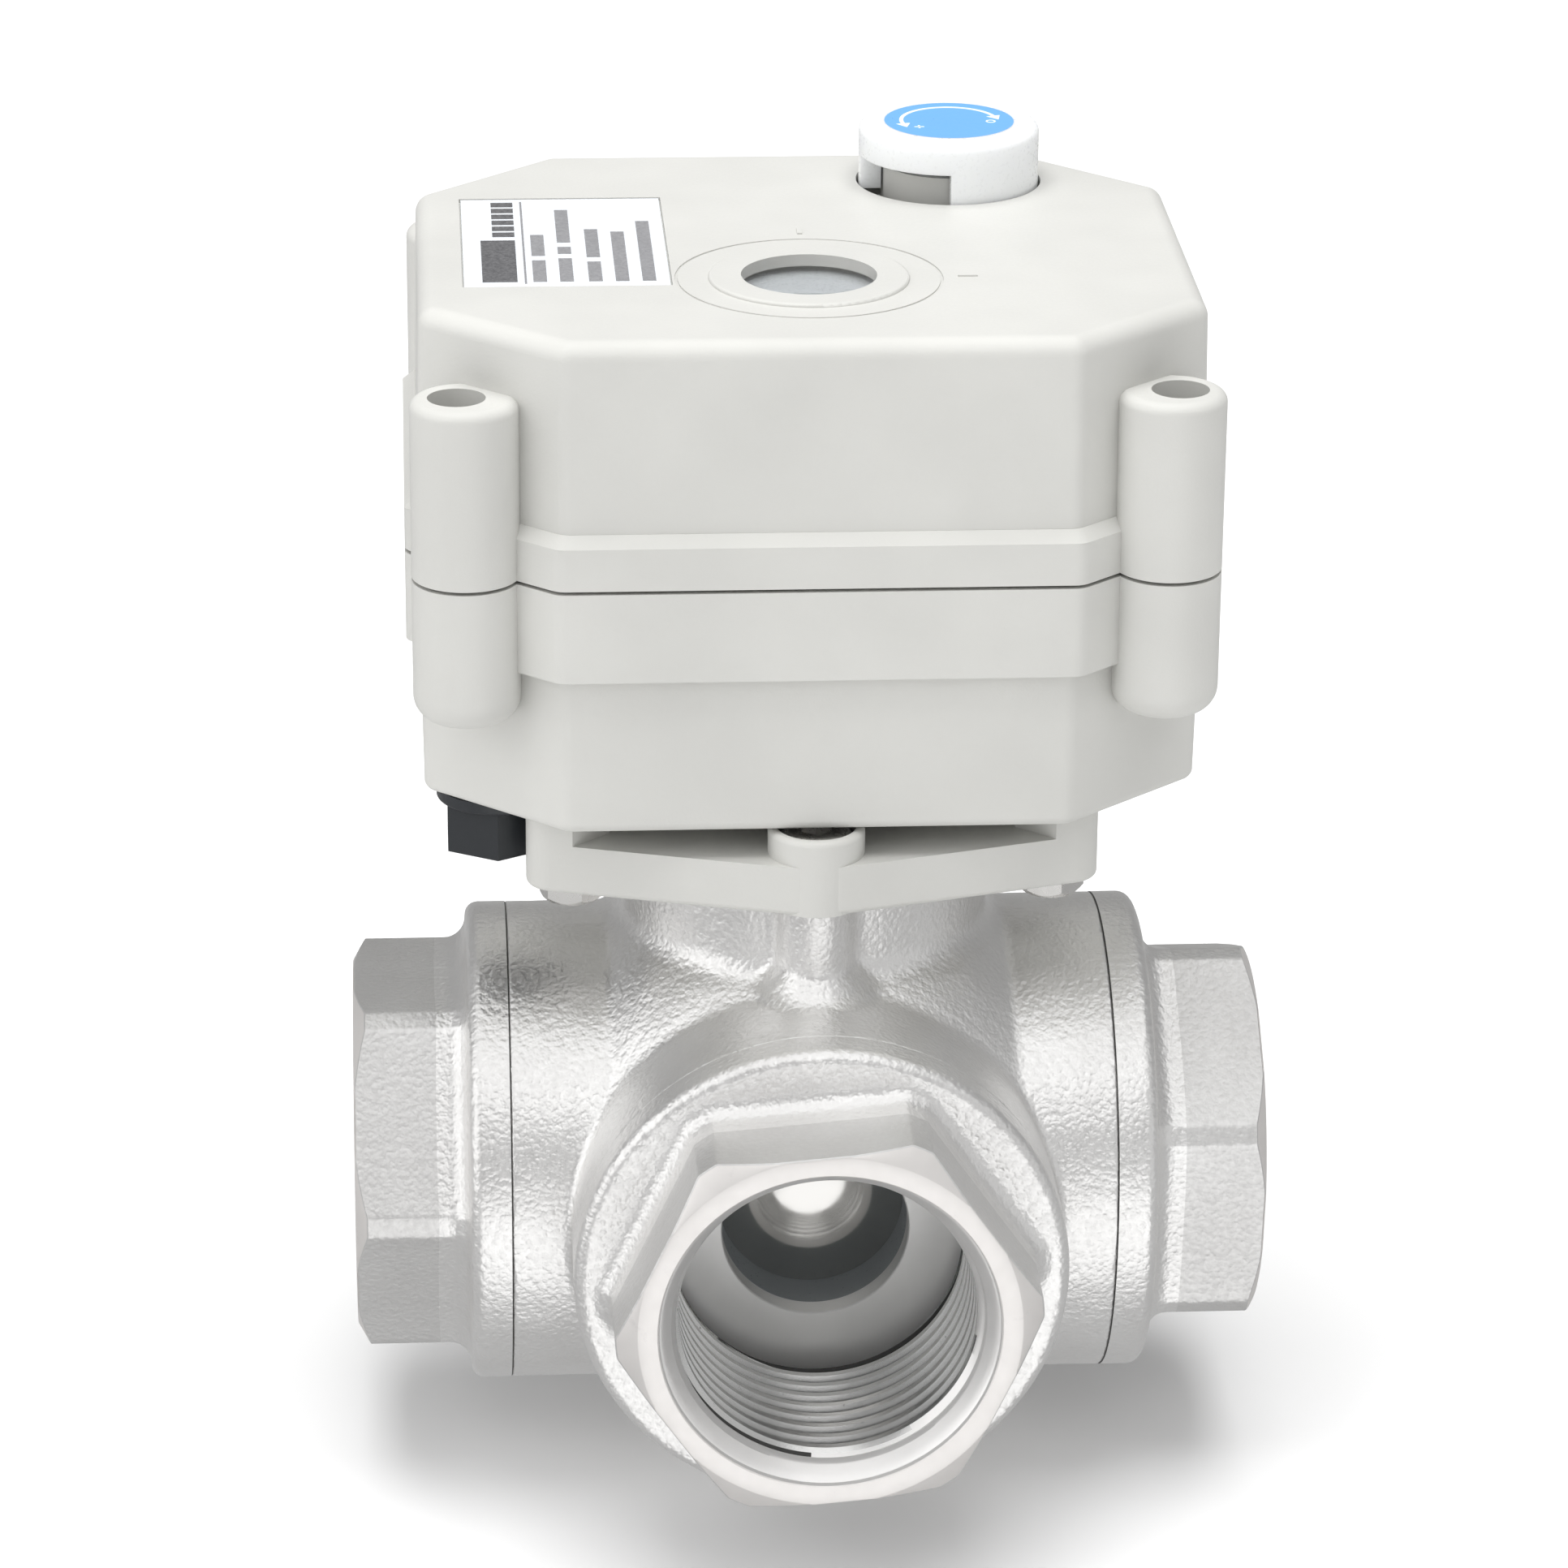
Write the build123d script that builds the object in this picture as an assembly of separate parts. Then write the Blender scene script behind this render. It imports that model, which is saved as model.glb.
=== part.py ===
from build123d import *
import math
import os

# A three-way ball valve with a small electric actuator, in millimetres.
# X runs along the straight pipe, the side port faces -Y and Z points up.
# The origin is where the axes of the three ports cross.

# Ports and end caps, measured outwards along each port's axis
PORT_FACE = 38.3  # the face of each port
THREAD_R = 13.22  # major radius of a G 3/4 thread
THREAD_DEPTH = 17.5
MOUTH_R = 13.9
MOUTH_CHAMFER = 0.7
RELIEF_R = 13.6  # run-out groove behind the thread
BORE_FLOOR = 19.0  # annular face at the bottom of the threaded bore
PORT_R = 7.8  # flow passage
COLLAR_R = 20.4
CAP_SPLIT = 25.2  # where each cap meets the body
COLLAR_END = 28.7
COLLAR_ROUND = 1.1
ROOT_LOW_R = 18.6  # flare between the collar and the hexagon
ROOT_HIGH_R = 16.4
ROOT_HIGH = 1.0
HEX_FLATS = 31.0
HEX_CORNER_R = 17.4
HEX_FACE_R = 15.6
HEX_CHAMFER_HIGH = 1.0
SPIGOT_R = 17.4  # threaded part of the cap inside the body
SPIGOT_END = 18.3
GASKET_THICK = 0.8
NOSE_R = 15.2
NOSE_END = 15.3
CAP_HEX_ANGLE = {"right": -22, "left": 0, "front": 5}
PORT_TURN = {"right": 0, "back": 90, "left": 180, "front": -90}

# Ball, seats and stem
BALL_R = 15.0
SEAT_R = 11.6
SEAT_FACE = 11.7
SEAT_BACK = 17.0
SLOT_WIDTH = 5.0
SLOT_FLOOR = 11.0
TANG_WIDTH = 4.8
TANG_LENGTH = 14.0
TANG_FLOOR = 11.2
SHOULDER_R = 6.5
SHOULDER_Z = 15.8
SHOULDER_TOP = 17.6
STEM_R = 4.5
WASHER_TOP = 18.4
PACKING_R = 7.0
PACKING_Z = 21.5
PACKING_NUT_Z = 24.6
PACKING_RINGS = 3
PACKING_GAP = 0.02
STEM_SQUARE = 6.0
STEM_SQUARE_Z = 27.6
STEM_TOP = 34.0

# Valve body
DOME_R = 26.5
NECK_R = 15.4
NECK_ROOT = 12.0
NECK_TOP = 28.3
COLUMN_R = 3.1
COLUMN_FOOT_R = 4.7
COLUMN_FOOT = (20.5, 22.6)
COLUMN_HOLE_FLOOR = 21.0
CHAMBER_R = 15.6

# Packing nut
NUT_CLEARANCE = 0.3
NUT_SLOT_HALF = 0.8
NUT_SLOT_FLOOR = 26.8

# Bracket between the valve and the actuator
BRACKET_HALF_X = 23.7
BRACKET_END_Y = 12.6
BRACKET_TIP_Y = 19.6
BRACKET_TOP = 32.6
BRACKET_END_ROUND = 2.6
BRACKET_TIP_ROUND = 9.0
BRACKET_EDGE_ROUND = 0.5
BRACKET_HOLE_R = 7.5
PAD_START_X = 16.8
PAD_SLANT_Y = 10.8  # where a pad's inner edge starts to slant outwards
PAD_SLANT_X = 26.3  # where that slant would reach the depth of the plate's tips
BRACKET_BOLT_X = 19.9
BRACKET_BOLT_Y = 9.6
BRACKET_BOLT_R = 1.5
BOLT_FLATS = 5.0
BOLT_HEAD_HIGH = 1.7
BOLT_HEAD_R = 3.1
BOLT_CHAMFER_R = 2.3
BOLT_CHAMFER_HIGH = 0.8
BRACKET_SCREW_Y = 15.4
BRACKET_SCREW_R = 1.5
BRACKET_SCREW_HEAD_R = 3.0
SCREW_CLEARANCE = 0.2
SCREW_BOSS_R = 4.0
SCREW_BOSS_TOP = 34.9
SCREW_SEAT = 32.5

# Casing: a box with cut corners, deeper behind the output shaft than before it
CASE_HALF_X = 32.3
CASE_FRONT_Y = -17.7
CASE_BACK_Y = 37.4
CUT_X = 11.6
CUT_FRONT_Y = 10.2
CUT_BACK_Y = 11.5
CASE_BOTTOM = 35.2
CASE_SPLIT = 56.5
CASE_TOP = 76.9
CASE_DRAFT = 0.35
CASE_WALL = 2.0
SPLIT_GAP = 0.3
BELT = 1.0  # how far the rims at the split stand proud
BELT_TOP = 60.2
BELT_BEVEL_TOP = 61.1
BELT_BOTTOM = 48.8
CORNER_ROUND = 1.7
TOP_ROUND = 1.5
BOTTOM_ROUND = 0.8
SEAL_WIDTH = 1.6
SEAL_SETBACK = 0.8  # from the belt's face
BOSS_X = 28.4
BOSS_HOLE_X = 29.0
BOSS_FRONT_Y = -14.1
BOSS_BACK_Y = 33.5
BOSS_R = 4.4
BOSS_TOP = 71.6
BOSS_BOTTOM = 44.3
BOSS_HOLE_R = 2.35
BOSS_TOP_ROUND = 0.9
BOSS_FOOT_ROUND = 2.2
BOSS_INSIDE = 1.0  # how far a boss reaches into the wall
BOSS_HOLE_FLOOR = 61.0
COVER_SCREW_R = 1.25
COVER_SCREW_LENGTH = 13.5
COVER_SCREW_HOLE_Z = 47.0
BOLT_POST_R = 3.0
PLATE_POST_R = 2.5
PLATE_POSTS = [(-15.0, 28.0), (19.5, 23.5)]
SHAFT_POST_R = 7.5
SHAFT_POST_TOP = 39.5

# Window over the position dial
WINDOW_R = 5.57
WINDOW_RING_R = 8.25
WINDOW_RING_HIGH = 0.3
WINDOW_RING_ROUND = 0.25
WINDOW_LEDGE = 76.2
LENS_R = 7.3
LENS_THICK = 0.8
LENS_SOCKET_R = 8.8
LENS_SOCKET_Z = 74.0
SCORE_R = 11.0
SCORE_WIDTH = 0.25
SCORE_DEEP = 0.12

# Label pocket
LABEL_LEFT, LABEL_RIGHT = -28.3, -11.2
LABEL_FRONT, LABEL_BACK = -1.6, 23.6
LABEL_DEEP = 0.3
LABEL_THICK = 0.25
LABEL_INSET = 0.15

# Manual override knob
KNOB_X, KNOB_Y = 13.8, 28.3
KNOB_R = 7.72
KNOB_INNER_R = 6.0
KNOB_TOP = 82.1
KNOB_SKIRT = 76.5
KNOB_ROOF = 80.6
KNOB_TRAVEL = 1.8
KNOB_ROUND = 0.8
KNOB_HUB_R = 4.3
KNOB_HUB_Z = 75.5
NOTCH_TOP = 79.4
NOTCH_X, NOTCH_Y = -0.4, -1.2  # the notch's corner, from the knob's axis
NOTCH_REACH = 9.0
STICKER_R = 5.55
STICKER_THICK = 0.15
COLLAR_TUBE_R = 5.8
COLLAR_TUBE_TOP = 78.6
GROOVE_R = 7.95
GROOVE_FLOOR = 73.9
KNOB_BOSS_R = 9.6
KNOB_BOSS_Z = 71.5
KNOB_GUIDE_FLOOR = 73.5
KNOB_SHAFT_R = 2.5
KNOB_SHAFT_Z = 55.0
KNOB_SHAFT_TOP = 81.2
CLUTCH_R = 4.2
CLUTCH_THICK = 1.15
STOP_R = 4.0
STOP_COLLAR = (69.0, 71.4)
CLIP_R = 3.6
CLIP_GROOVE = (66.0, 66.8)
CLIP_GROOVE_R = 1.9
CLIP_GAP_HALF = 0.9
SEAL_GROOVE = (72.2, 73.2)
SEAL_GROOVE_R = 1.8
SPRING_WASHER_R = 4.2
SPRING_WASHER = (65.3, 65.95)
SPRING = (58.65, 64.9)
SPRING_R = 3.4
SPRING_PITCH = 1.25
WIRE_R = 0.3

# Cable gland under the casing
GLAND_X, GLAND_Y = -26.0, -5.5
GLAND_COLLAR_R = 5.0
GLAND_COLLAR_ROUND = 0.3
GLAND_STUD_R = 3.0
GLAND_STUD_TOP = 40.6
GLAND_HOLE_R = 2.5
GLAND_SEAL_R = 2.8
GLAND_SEAL_INNER_R = 2.1
GLAND_SEAL = (30.2, 32.6)
GLAND_FLATS = 8.2
GLAND_COLLAR_Z = 34.1
GLAND_BOTTOM = 30.0
GLAND_NUT_R = 3.6
GLAND_NUT_TOP = 39.3

# Gear train between two plates
PLATE_THICK = 1.5
LOWER_PLATE = 41.5
UPPER_PLATE = 56.8
PLATE_HALF_X = 22.5
PLATE_FRONT_Y = -13.0
PLATE_BACK_Y = 34.0
PLATE_CUT = 8.0
PILLARS = [(2.0, 31.4), (20.5, 21), (-18.5, -8), (18.5, -8)]
PRESSURE = math.radians(20)
BACKLASH = 0.07
PROFILE_SHIFT = 0.4
PINION_TEETH = 10
WHEEL_TEETH = 36
OUTPUT_TEETH = 34
MANUAL_TEETH = 16
OUTPUT_MODULE = 0.8
MIDDLE_MODULE = 0.6
FAST_MODULE = 0.5
ADDENDUM = 0.95
DEDENDUM = 1.25
FLANK_STEPS = 3
SECOND_DIRECTION = 200.0  # from the final gear to the second gear
FIRST_DIRECTION = 130.0  # from the second gear to the first gear
MOTOR_DIRECTION = 20.0  # from the first gear to the motor
LAYER_A = (43.8, 48.3)  # output gear
LAYER_B = (48.9, 51.0)  # final gear's wheel
LAYER_C = (51.6, 53.4)  # second gear's wheel
LAYER_D = (54.0, 55.6)  # first gear's wheel
AXLE_R = 1.0
PILLAR_R = 2.4
PILLAR_HOLE_R = 1.25
CROSS_PIN_R = 0.9
CROSS_PIN_LENGTH = 10.6
MANUAL_HUB_R = 3.0
MANUAL_JOURNAL_R = 2.0
MANUAL_JOURNAL_Z = 41.3
MANUAL_SHOULDER_Z = 43.1
RUNNING = 0.05  # radial clearance of what turns or slides

# Output shaft, cams and limit switches
SOCKET_BOTTOM = 29.6  # of the coupling on the stem's square
SOCKET_TOP = 35.0
SHAFT_R = 4.0
SHAFT_TOP_R = 3.0
SHAFT_STEP = 59.0
SHAFT_TOP = 70.9
BUSH_R = 5.5
BUSH_TOP = 38.2
DIAL_HUB_R = 4.2
DIAL_HUB_Z = 68.4
DIAL_R = 6.6
DIAL_DISC_Z = 73.5
DIAL_TOP = 75.0
POINTER_HALF = 0.7
POINTER_REACH = 5.8
POINTER_TOP = 75.2
CAM_LOW_R = 5.4
CAM_HIGH_R = 6.2
CAM_STEP = 6  # degrees between the points of a cam's outline
CAM_LEVELS = {"open": (59.8, 62.2), "closed": (65.5, 67.9)}
SWITCH_FACE = 8.0
SWITCH_END = 14.5
SWITCH_HALF_Y = 6.4
SWITCH_MARGIN = 1.5
SWITCH_ROUND = 0.4
SWITCH_BORE = 4.0
SWITCH_HOLES = [(12.2, -3.2), (12.2, 3.2)]
TERMINAL_END = 17.0
TERMINAL_YS = (-5.0, 0.0, 5.0)
PLUNGER_HALF_Y = 0.9
PLUNGER_HIGH = 2.2
PLUNGER_LONG = 4.6
PLUNGER_ROUND = 0.8
PLUNGER_GAP = 0.1

# Motor
MOTOR_R = 7.75
MOTOR_TOP = 71.0
MOTOR_WALL = 0.8
MOTOR_FLOOR = 1.0
MOTOR_BOSS_R = 3.0
MOTOR_SHAFT_R = 1.0
MOTOR_SHAFT_TOP = 72.2
MAGNET_INNER_R = 5.4
MAGNET = (60.0, 69.5)
MAGNET_GAP_HALF = 1.5
CORE_R = 5.0
CORE = (61.0, 68.0)
WINDING_HOLE_R = 0.9
WINDING_HOLE_REACH = 4.6
COMMUTATOR_R = 1.9
COMMUTATOR_TOP = 70.2
END_CAP_THICK = 1.4
TERMINAL_X = 5.5  # the motor's terminals, from its axis
TERMINAL_TOP = 74.4
MOTOR_SCREW_REACH = 5.2
MOTOR_SCREW_R = 0.9
MOTOR_SCREW_HEAD_R = 1.5
MOTOR_SCREW_HEAD_HIGH = 0.7

# Electronics, on the right of the upper plate
BOARD_X = (20.0, 21.6)
BOARD_Y = (-5.0, 18.0)
BOARD_TOP = 70.5
CAPACITOR_R = 3.9
CAPACITOR_LENGTH = 8.0
CAPACITOR_Y, CAPACITOR_Z = 13.5, 64.0
BLOCK_END_X = 27.0
BLOCK_Y = (-4.0, 12.0)
BLOCK_Z = (61.0, 69.0)
WIRE_YS = (-1.0, 4.0, 9.0)
WIRE_Z = 63.5
WIRE_HOLE_R = 1.2
CLAMP_X = 24.3
CLAMP_R = 1.4
CLAMP_FLOOR = 66.5

GROUND = (Align.CENTER, Align.CENTER, Align.MIN)
CORNER = (Align.MIN, Align.MIN, Align.MIN)


def rod(radius, low, high, x=0, y=0):
    """An upright cylinder between two heights."""
    return Pos(x, y, low) * Cylinder(radius, high - low, align=GROUND)


def tube(outer, inner, low, high, x=0, y=0):
    """An upright ring between two heights."""
    return rod(outer, low, high, x, y) - rod(inner, low, high, x, y)


def block(x, y, z):
    """A box from three (low, high) pairs."""
    size = Box(x[1] - x[0], y[1] - y[0], z[1] - z[0], align=CORNER)
    return Pos(x[0], y[0], z[0]) * size


def sphere(radius):
    """A sphere whose seam lies away from the ports."""
    return Rot(0, 0, 45) * Sphere(radius)


def cone(low_r, high_r, low, high, x=0, y=0):
    """An upright frustum between two heights."""
    return Pos(x, y, low) * Cone(low_r, high_r, high - low, align=GROUND)


def prism(points, low, high):
    """An upright prism over an outline."""
    outline = make_face(Polyline(*points, close=True))
    return Pos(0, 0, low) * extrude(outline, amount=high - low, dir=(0, 0, 1))


def hexagon(flats, low, high, x=0, y=0, angle=0):
    """A hexagonal prism with a flat facing each angle + 60k degrees."""
    corner = flats / 2 / math.cos(math.pi / 6)
    turns = [math.radians(angle + 30 + 60 * k) for k in range(6)]
    points = [(x + corner * math.cos(t), y + corner * math.sin(t)) for t in turns]
    return prism(points, low, high)


def at_each(places, make):
    """Copies of one piece at several (x, y) places, as one group of solids."""
    return Compound(children=[make(x, y) for x, y in places])


def on_port(shape, port):
    """Lays a shape built along +Z out along a port's axis."""
    return Rot(0, 0, PORT_TURN[port]) * Rot(0, 90, 0) * shape


def screw(x, y, seat, length, shank_r, head_r, head_high, drive):
    """A pan-head screw, head up, with a hexagon socket."""
    head = rod(head_r, seat, seat + head_high, x, y)
    head = fillet(head.edges().group_by(Axis.Z)[-1], head_high * 0.4)
    socket = hexagon(drive, seat + head_high * 0.45, seat + head_high + 1, x, y)
    return head - socket + rod(shank_r, seat - length, seat, x, y)


# ---------------------------------------------------------------- valve


def end_cap(port):
    """A threaded cap with a hexagon, a collar, and a spigot that holds the seat."""
    collar = rod(COLLAR_R, CAP_SPLIT, COLLAR_END)
    collar = fillet(collar.edges().group_by(Axis.Z)[-1], COLLAR_ROUND)
    flats = hexagon(HEX_FLATS, CAP_SPLIT, PORT_FACE, angle=CAP_HEX_ANGLE[port])
    flats &= rod(HEX_CORNER_R, CAP_SPLIT, PORT_FACE)
    chamfer_start = PORT_FACE - HEX_CHAMFER_HIGH
    flats &= rod(HEX_CORNER_R, 0, chamfer_start) + cone(
        HEX_CORNER_R, HEX_FACE_R, chamfer_start, PORT_FACE
    )
    root = cone(ROOT_LOW_R, ROOT_HIGH_R, COLLAR_END, COLLAR_END + ROOT_HIGH)
    spigot = rod(SPIGOT_R, SPIGOT_END, CAP_SPLIT) + rod(NOSE_R, NOSE_END, SPIGOT_END)
    cap = collar + flats + root + spigot
    cap -= rod(THREAD_R, BORE_FLOOR, PORT_FACE)
    cap -= rod(RELIEF_R, BORE_FLOOR, PORT_FACE - THREAD_DEPTH)
    cap -= cone(THREAD_R, MOUTH_R, PORT_FACE - MOUTH_CHAMFER, PORT_FACE)
    cap -= rod(PORT_R, NOSE_END, BORE_FLOOR)
    cap -= rod(SEAT_R, NOSE_END, SEAT_BACK)
    return on_port(cap, port)


def cap_gasket():
    """The flat gasket between a cap's spigot and the body's shoulder."""
    return tube(SPIGOT_R, NOSE_R, SPIGOT_END - GASKET_THICK, SPIGOT_END)


def ball_seat():
    """A seat ring, hollowed to the ball."""
    seat = tube(SEAT_R, PORT_R, SEAT_FACE, SEAT_BACK)
    return seat - sphere(BALL_R)


def valve_body():
    """A cast dome with three barrels, a neck for the stem and two screw columns."""
    body = sphere(DOME_R) + on_port(rod(COLLAR_R, -CAP_SPLIT, CAP_SPLIT), "right")
    body += on_port(rod(COLLAR_R, 0, CAP_SPLIT), "front")
    body += rod(NECK_R, NECK_ROOT, NECK_TOP)
    for x, y in bracket_screw_places():
        body += rod(COLUMN_R, NECK_ROOT, NECK_TOP, x, y)
        body += cone(COLUMN_FOOT_R, COLUMN_R, *COLUMN_FOOT, x, y)
    body -= sphere(CHAMBER_R)
    for port in ("right", "left", "front"):
        body -= on_port(rod(NOSE_R, 0, SPIGOT_END), port)
        body -= on_port(rod(SPIGOT_R, SPIGOT_END - GASKET_THICK, DOME_R + 1), port)
    body -= on_port(rod(SEAT_R, 0, SEAT_BACK), "back")
    body -= rod(SHOULDER_R + 2 * RUNNING, 0, WASHER_TOP)
    body -= rod(STEM_R + RUNNING, 0, NECK_TOP)
    body -= rod(PACKING_R, PACKING_Z, NECK_TOP)
    for x, y in bracket_screw_places():
        body -= rod(BRACKET_SCREW_R, COLUMN_HOLE_FLOOR, NECK_TOP, x, y)
    return body


def valve_ball():
    """A three-way ball: straight through along X, with a branch to the closed back."""
    ball = sphere(BALL_R)
    ball -= on_port(rod(PORT_R, 0, BALL_R), "right")
    ball -= on_port(rod(PORT_R, 0, BALL_R), "left")
    ball -= on_port(rod(PORT_R, 0, BALL_R), "back")
    half = SLOT_WIDTH / 2
    return ball - block((-BALL_R, BALL_R), (-half, half), (SLOT_FLOOR, BALL_R))


def valve_stem():
    """A stem with a tang in the ball's slot, a shoulder and a square top."""
    tang = block(
        (-TANG_LENGTH / 2, TANG_LENGTH / 2),
        (-TANG_WIDTH / 2, TANG_WIDTH / 2),
        (TANG_FLOOR, SHOULDER_Z),
    )
    stem = tang & rod(SHOULDER_R, 0, SHOULDER_Z)
    stem += rod(SHOULDER_R, SHOULDER_Z, SHOULDER_TOP - RUNNING)
    stem += rod(STEM_R, SHOULDER_Z, STEM_SQUARE_Z)
    half = STEM_SQUARE / 2
    return stem + block((-half, half), (-half, half), (STEM_SQUARE_Z, STEM_TOP))


def stem_packing():
    """Three packing rings around the stem."""
    high = (PACKING_NUT_Z - PACKING_Z) / PACKING_RINGS
    inner = STEM_R + RUNNING
    lows = [PACKING_Z + k * high for k in range(PACKING_RINGS)]
    rings = [tube(PACKING_R, inner, low, low + high - PACKING_GAP) for low in lows]
    return Compound(children=rings)


def packing_nut():
    """A round nut with two spanner slots that presses on the packing."""
    inner, top = STEM_R + NUT_CLEARANCE, NECK_TOP - NUT_CLEARANCE
    nut = tube(PACKING_R, inner, PACKING_NUT_Z, top)
    slot_y = (-NUT_SLOT_HALF, NUT_SLOT_HALF)
    return nut - block((-PACKING_R, PACKING_R), slot_y, (NUT_SLOT_FLOOR, top))


# ---------------------------------------------------------------- bracket


def bracket():
    """A six-sided plate with raised end pads under the casing."""
    points = [
        (BRACKET_HALF_X, -BRACKET_END_Y),
        (BRACKET_HALF_X, BRACKET_END_Y),
        (0, BRACKET_TIP_Y),
        (-BRACKET_HALF_X, BRACKET_END_Y),
        (-BRACKET_HALF_X, -BRACKET_END_Y),
        (0, -BRACKET_TIP_Y),
    ]
    full = prism(points, NECK_TOP, CASE_BOTTOM)
    ends = full.edges().filter_by(Axis.Z).filter_by(lambda e: abs(e.center().X) > 1)
    full = fillet(ends, BRACKET_END_ROUND)
    tips = full.edges().filter_by(Axis.Z).filter_by(lambda e: abs(e.center().X) < 1)
    full = fillet(tips, BRACKET_TIP_ROUND)
    full = fillet(full.edges().group_by(Axis.Z)[0], BRACKET_EDGE_ROUND)
    between_pads = [
        (PAD_SLANT_X, -BRACKET_TIP_Y),
        (PAD_START_X, -PAD_SLANT_Y),
        (PAD_START_X, PAD_SLANT_Y),
        (PAD_SLANT_X, BRACKET_TIP_Y),
        (-PAD_SLANT_X, BRACKET_TIP_Y),
        (-PAD_START_X, PAD_SLANT_Y),
        (-PAD_START_X, -PAD_SLANT_Y),
        (-PAD_SLANT_X, -BRACKET_TIP_Y),
    ]
    plate = full - prism(between_pads, BRACKET_TOP, CASE_BOTTOM)
    for x, y in bracket_screw_places():
        boss = rod(SCREW_BOSS_R, NECK_TOP, SCREW_BOSS_TOP, x, y)
        plate += fillet(boss.edges().group_by(Axis.Z)[-1], BRACKET_EDGE_ROUND)
        plate -= rod(BRACKET_SCREW_HEAD_R + 0.3, SCREW_SEAT, SCREW_BOSS_TOP, x, y)
        plate -= rod(BRACKET_SCREW_R + SCREW_CLEARANCE, NECK_TOP, SCREW_SEAT, x, y)
    plate -= rod(BRACKET_HOLE_R, NECK_TOP, BRACKET_TOP)
    plate -= rod(GLAND_COLLAR_R + 0.3, NECK_TOP, CASE_BOTTOM, GLAND_X, GLAND_Y)
    for x, y in bracket_bolt_places():
        plate -= rod(BRACKET_BOLT_R + 0.1, NECK_TOP, CASE_BOTTOM, x, y)
    return plate


def bracket_screw_places():
    """The two screws that hold the bracket to the valve's neck."""
    return [(0, -BRACKET_SCREW_Y), (0, BRACKET_SCREW_Y)]


def bracket_bolt_places():
    """The four bolts that hold the bracket to the casing."""
    return [(sx * BRACKET_BOLT_X, sy * BRACKET_BOLT_Y) for sx in (-1, 1) for sy in (-1, 1)]


def bracket_bolt(x, y):
    """A hexagon-headed bolt, head down, that reaches the lower gear plate."""
    low = NECK_TOP - BOLT_HEAD_HIGH
    bevel = low + BOLT_CHAMFER_HIGH
    head = hexagon(BOLT_FLATS, low, NECK_TOP, x, y, angle=15)
    head &= cone(BOLT_CHAMFER_R, BOLT_HEAD_R, low, bevel, x, y) + rod(
        BOLT_HEAD_R, bevel, NECK_TOP, x, y
    )
    return head + rod(BRACKET_BOLT_R, NECK_TOP, LOWER_PLATE + PLATE_THICK, x, y)


def bracket_screw(x, y):
    """A pan-head screw from the bracket into the valve's neck."""
    return screw(
        x,
        y,
        seat=SCREW_SEAT,
        length=10.5,
        shank_r=BRACKET_SCREW_R,
        head_r=BRACKET_SCREW_HEAD_R,
        head_high=2.1,
        drive=2.5,
    )


# ---------------------------------------------------------------- casing


def octagon(grow=0.0):
    """The casing's outline, moved outwards by grow."""
    front, back = CASE_FRONT_Y, CASE_BACK_Y
    points = [
        (CASE_HALF_X, front + CUT_FRONT_Y),
        (CASE_HALF_X, back - CUT_BACK_Y),
        (CASE_HALF_X - CUT_X, back),
        (CUT_X - CASE_HALF_X, back),
        (-CASE_HALF_X, back - CUT_BACK_Y),
        (-CASE_HALF_X, front + CUT_FRONT_Y),
        (CUT_X - CASE_HALF_X, front),
        (CASE_HALF_X - CUT_X, front),
    ]
    face = make_face(Polyline(*points, close=True))
    return offset(face, grow, kind=Kind.INTERSECTION) if grow else face


def octagon_solid(low, high, grow_low=0.0, grow_high=0.0):
    """A casing-shaped solid whose outline may change evenly with height."""
    sections = [Pos(0, 0, low) * octagon(grow_low), Pos(0, 0, high) * octagon(grow_high)]
    solid = loft(sections, ruled=True)
    upright = [
        e for e in solid.edges() if abs(e.center().Z - (low + high) / 2) < 0.01
    ]
    return fillet(upright, CORNER_ROUND)


def corner_places(half_x):
    """The casing's four corners, at a distance half_x to each side."""
    return [(sx * half_x, y) for sx in (-1, 1) for y in (BOSS_FRONT_Y, BOSS_BACK_Y)]


def top_cover():
    """The upper shell, with the window, the label pocket and the knob's collar."""
    low = CASE_SPLIT + SPLIT_GAP / 2
    shell = octagon_solid(low, CASE_TOP, 0, -CASE_DRAFT)
    shell = fillet(shell.edges().group_by(Axis.Z)[-1], TOP_ROUND)
    shell += octagon_solid(low, BELT_TOP, BELT, BELT)
    shell += octagon_solid(BELT_TOP, BELT_BEVEL_TOP, BELT, 0)
    shell -= octagon_solid(low, CASE_TOP - CASE_WALL, -CASE_WALL, -CASE_WALL)
    for x, y in corner_places(BOSS_X):
        boss = rod(BOSS_R, low, BOSS_TOP, x, y)
        boss = fillet(boss.edges().group_by(Axis.Z)[-1], BOSS_TOP_ROUND)
        shell += boss - octagon_solid(low, CASE_TOP, -BOSS_INSIDE, -BOSS_INSIDE)
    for x, y in corner_places(BOSS_HOLE_X):
        shell -= rod(BOSS_HOLE_R, BOSS_HOLE_FLOOR, BOSS_TOP, x, y)
        shell -= rod(COVER_SCREW_R + SCREW_CLEARANCE, low, BOSS_HOLE_FLOOR, x, y)
    shell += window_ring()
    shell -= rod(LENS_R, LENS_SOCKET_Z, WINDOW_LEDGE)
    shell -= rod(WINDOW_R, WINDOW_LEDGE, CASE_TOP + WINDOW_RING_HIGH)
    shell += knob_socket()
    return shell - cover_cuts()


def window_ring():
    """The raised ring around the window and the thicker roof that holds the lens."""
    raised = rod(WINDOW_RING_R, CASE_TOP - 1, CASE_TOP + WINDOW_RING_HIGH)
    raised = fillet(raised.edges().group_by(Axis.Z)[-1], WINDOW_RING_ROUND)
    return raised + rod(LENS_SOCKET_R, LENS_SOCKET_Z, CASE_TOP - 1)


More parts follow.
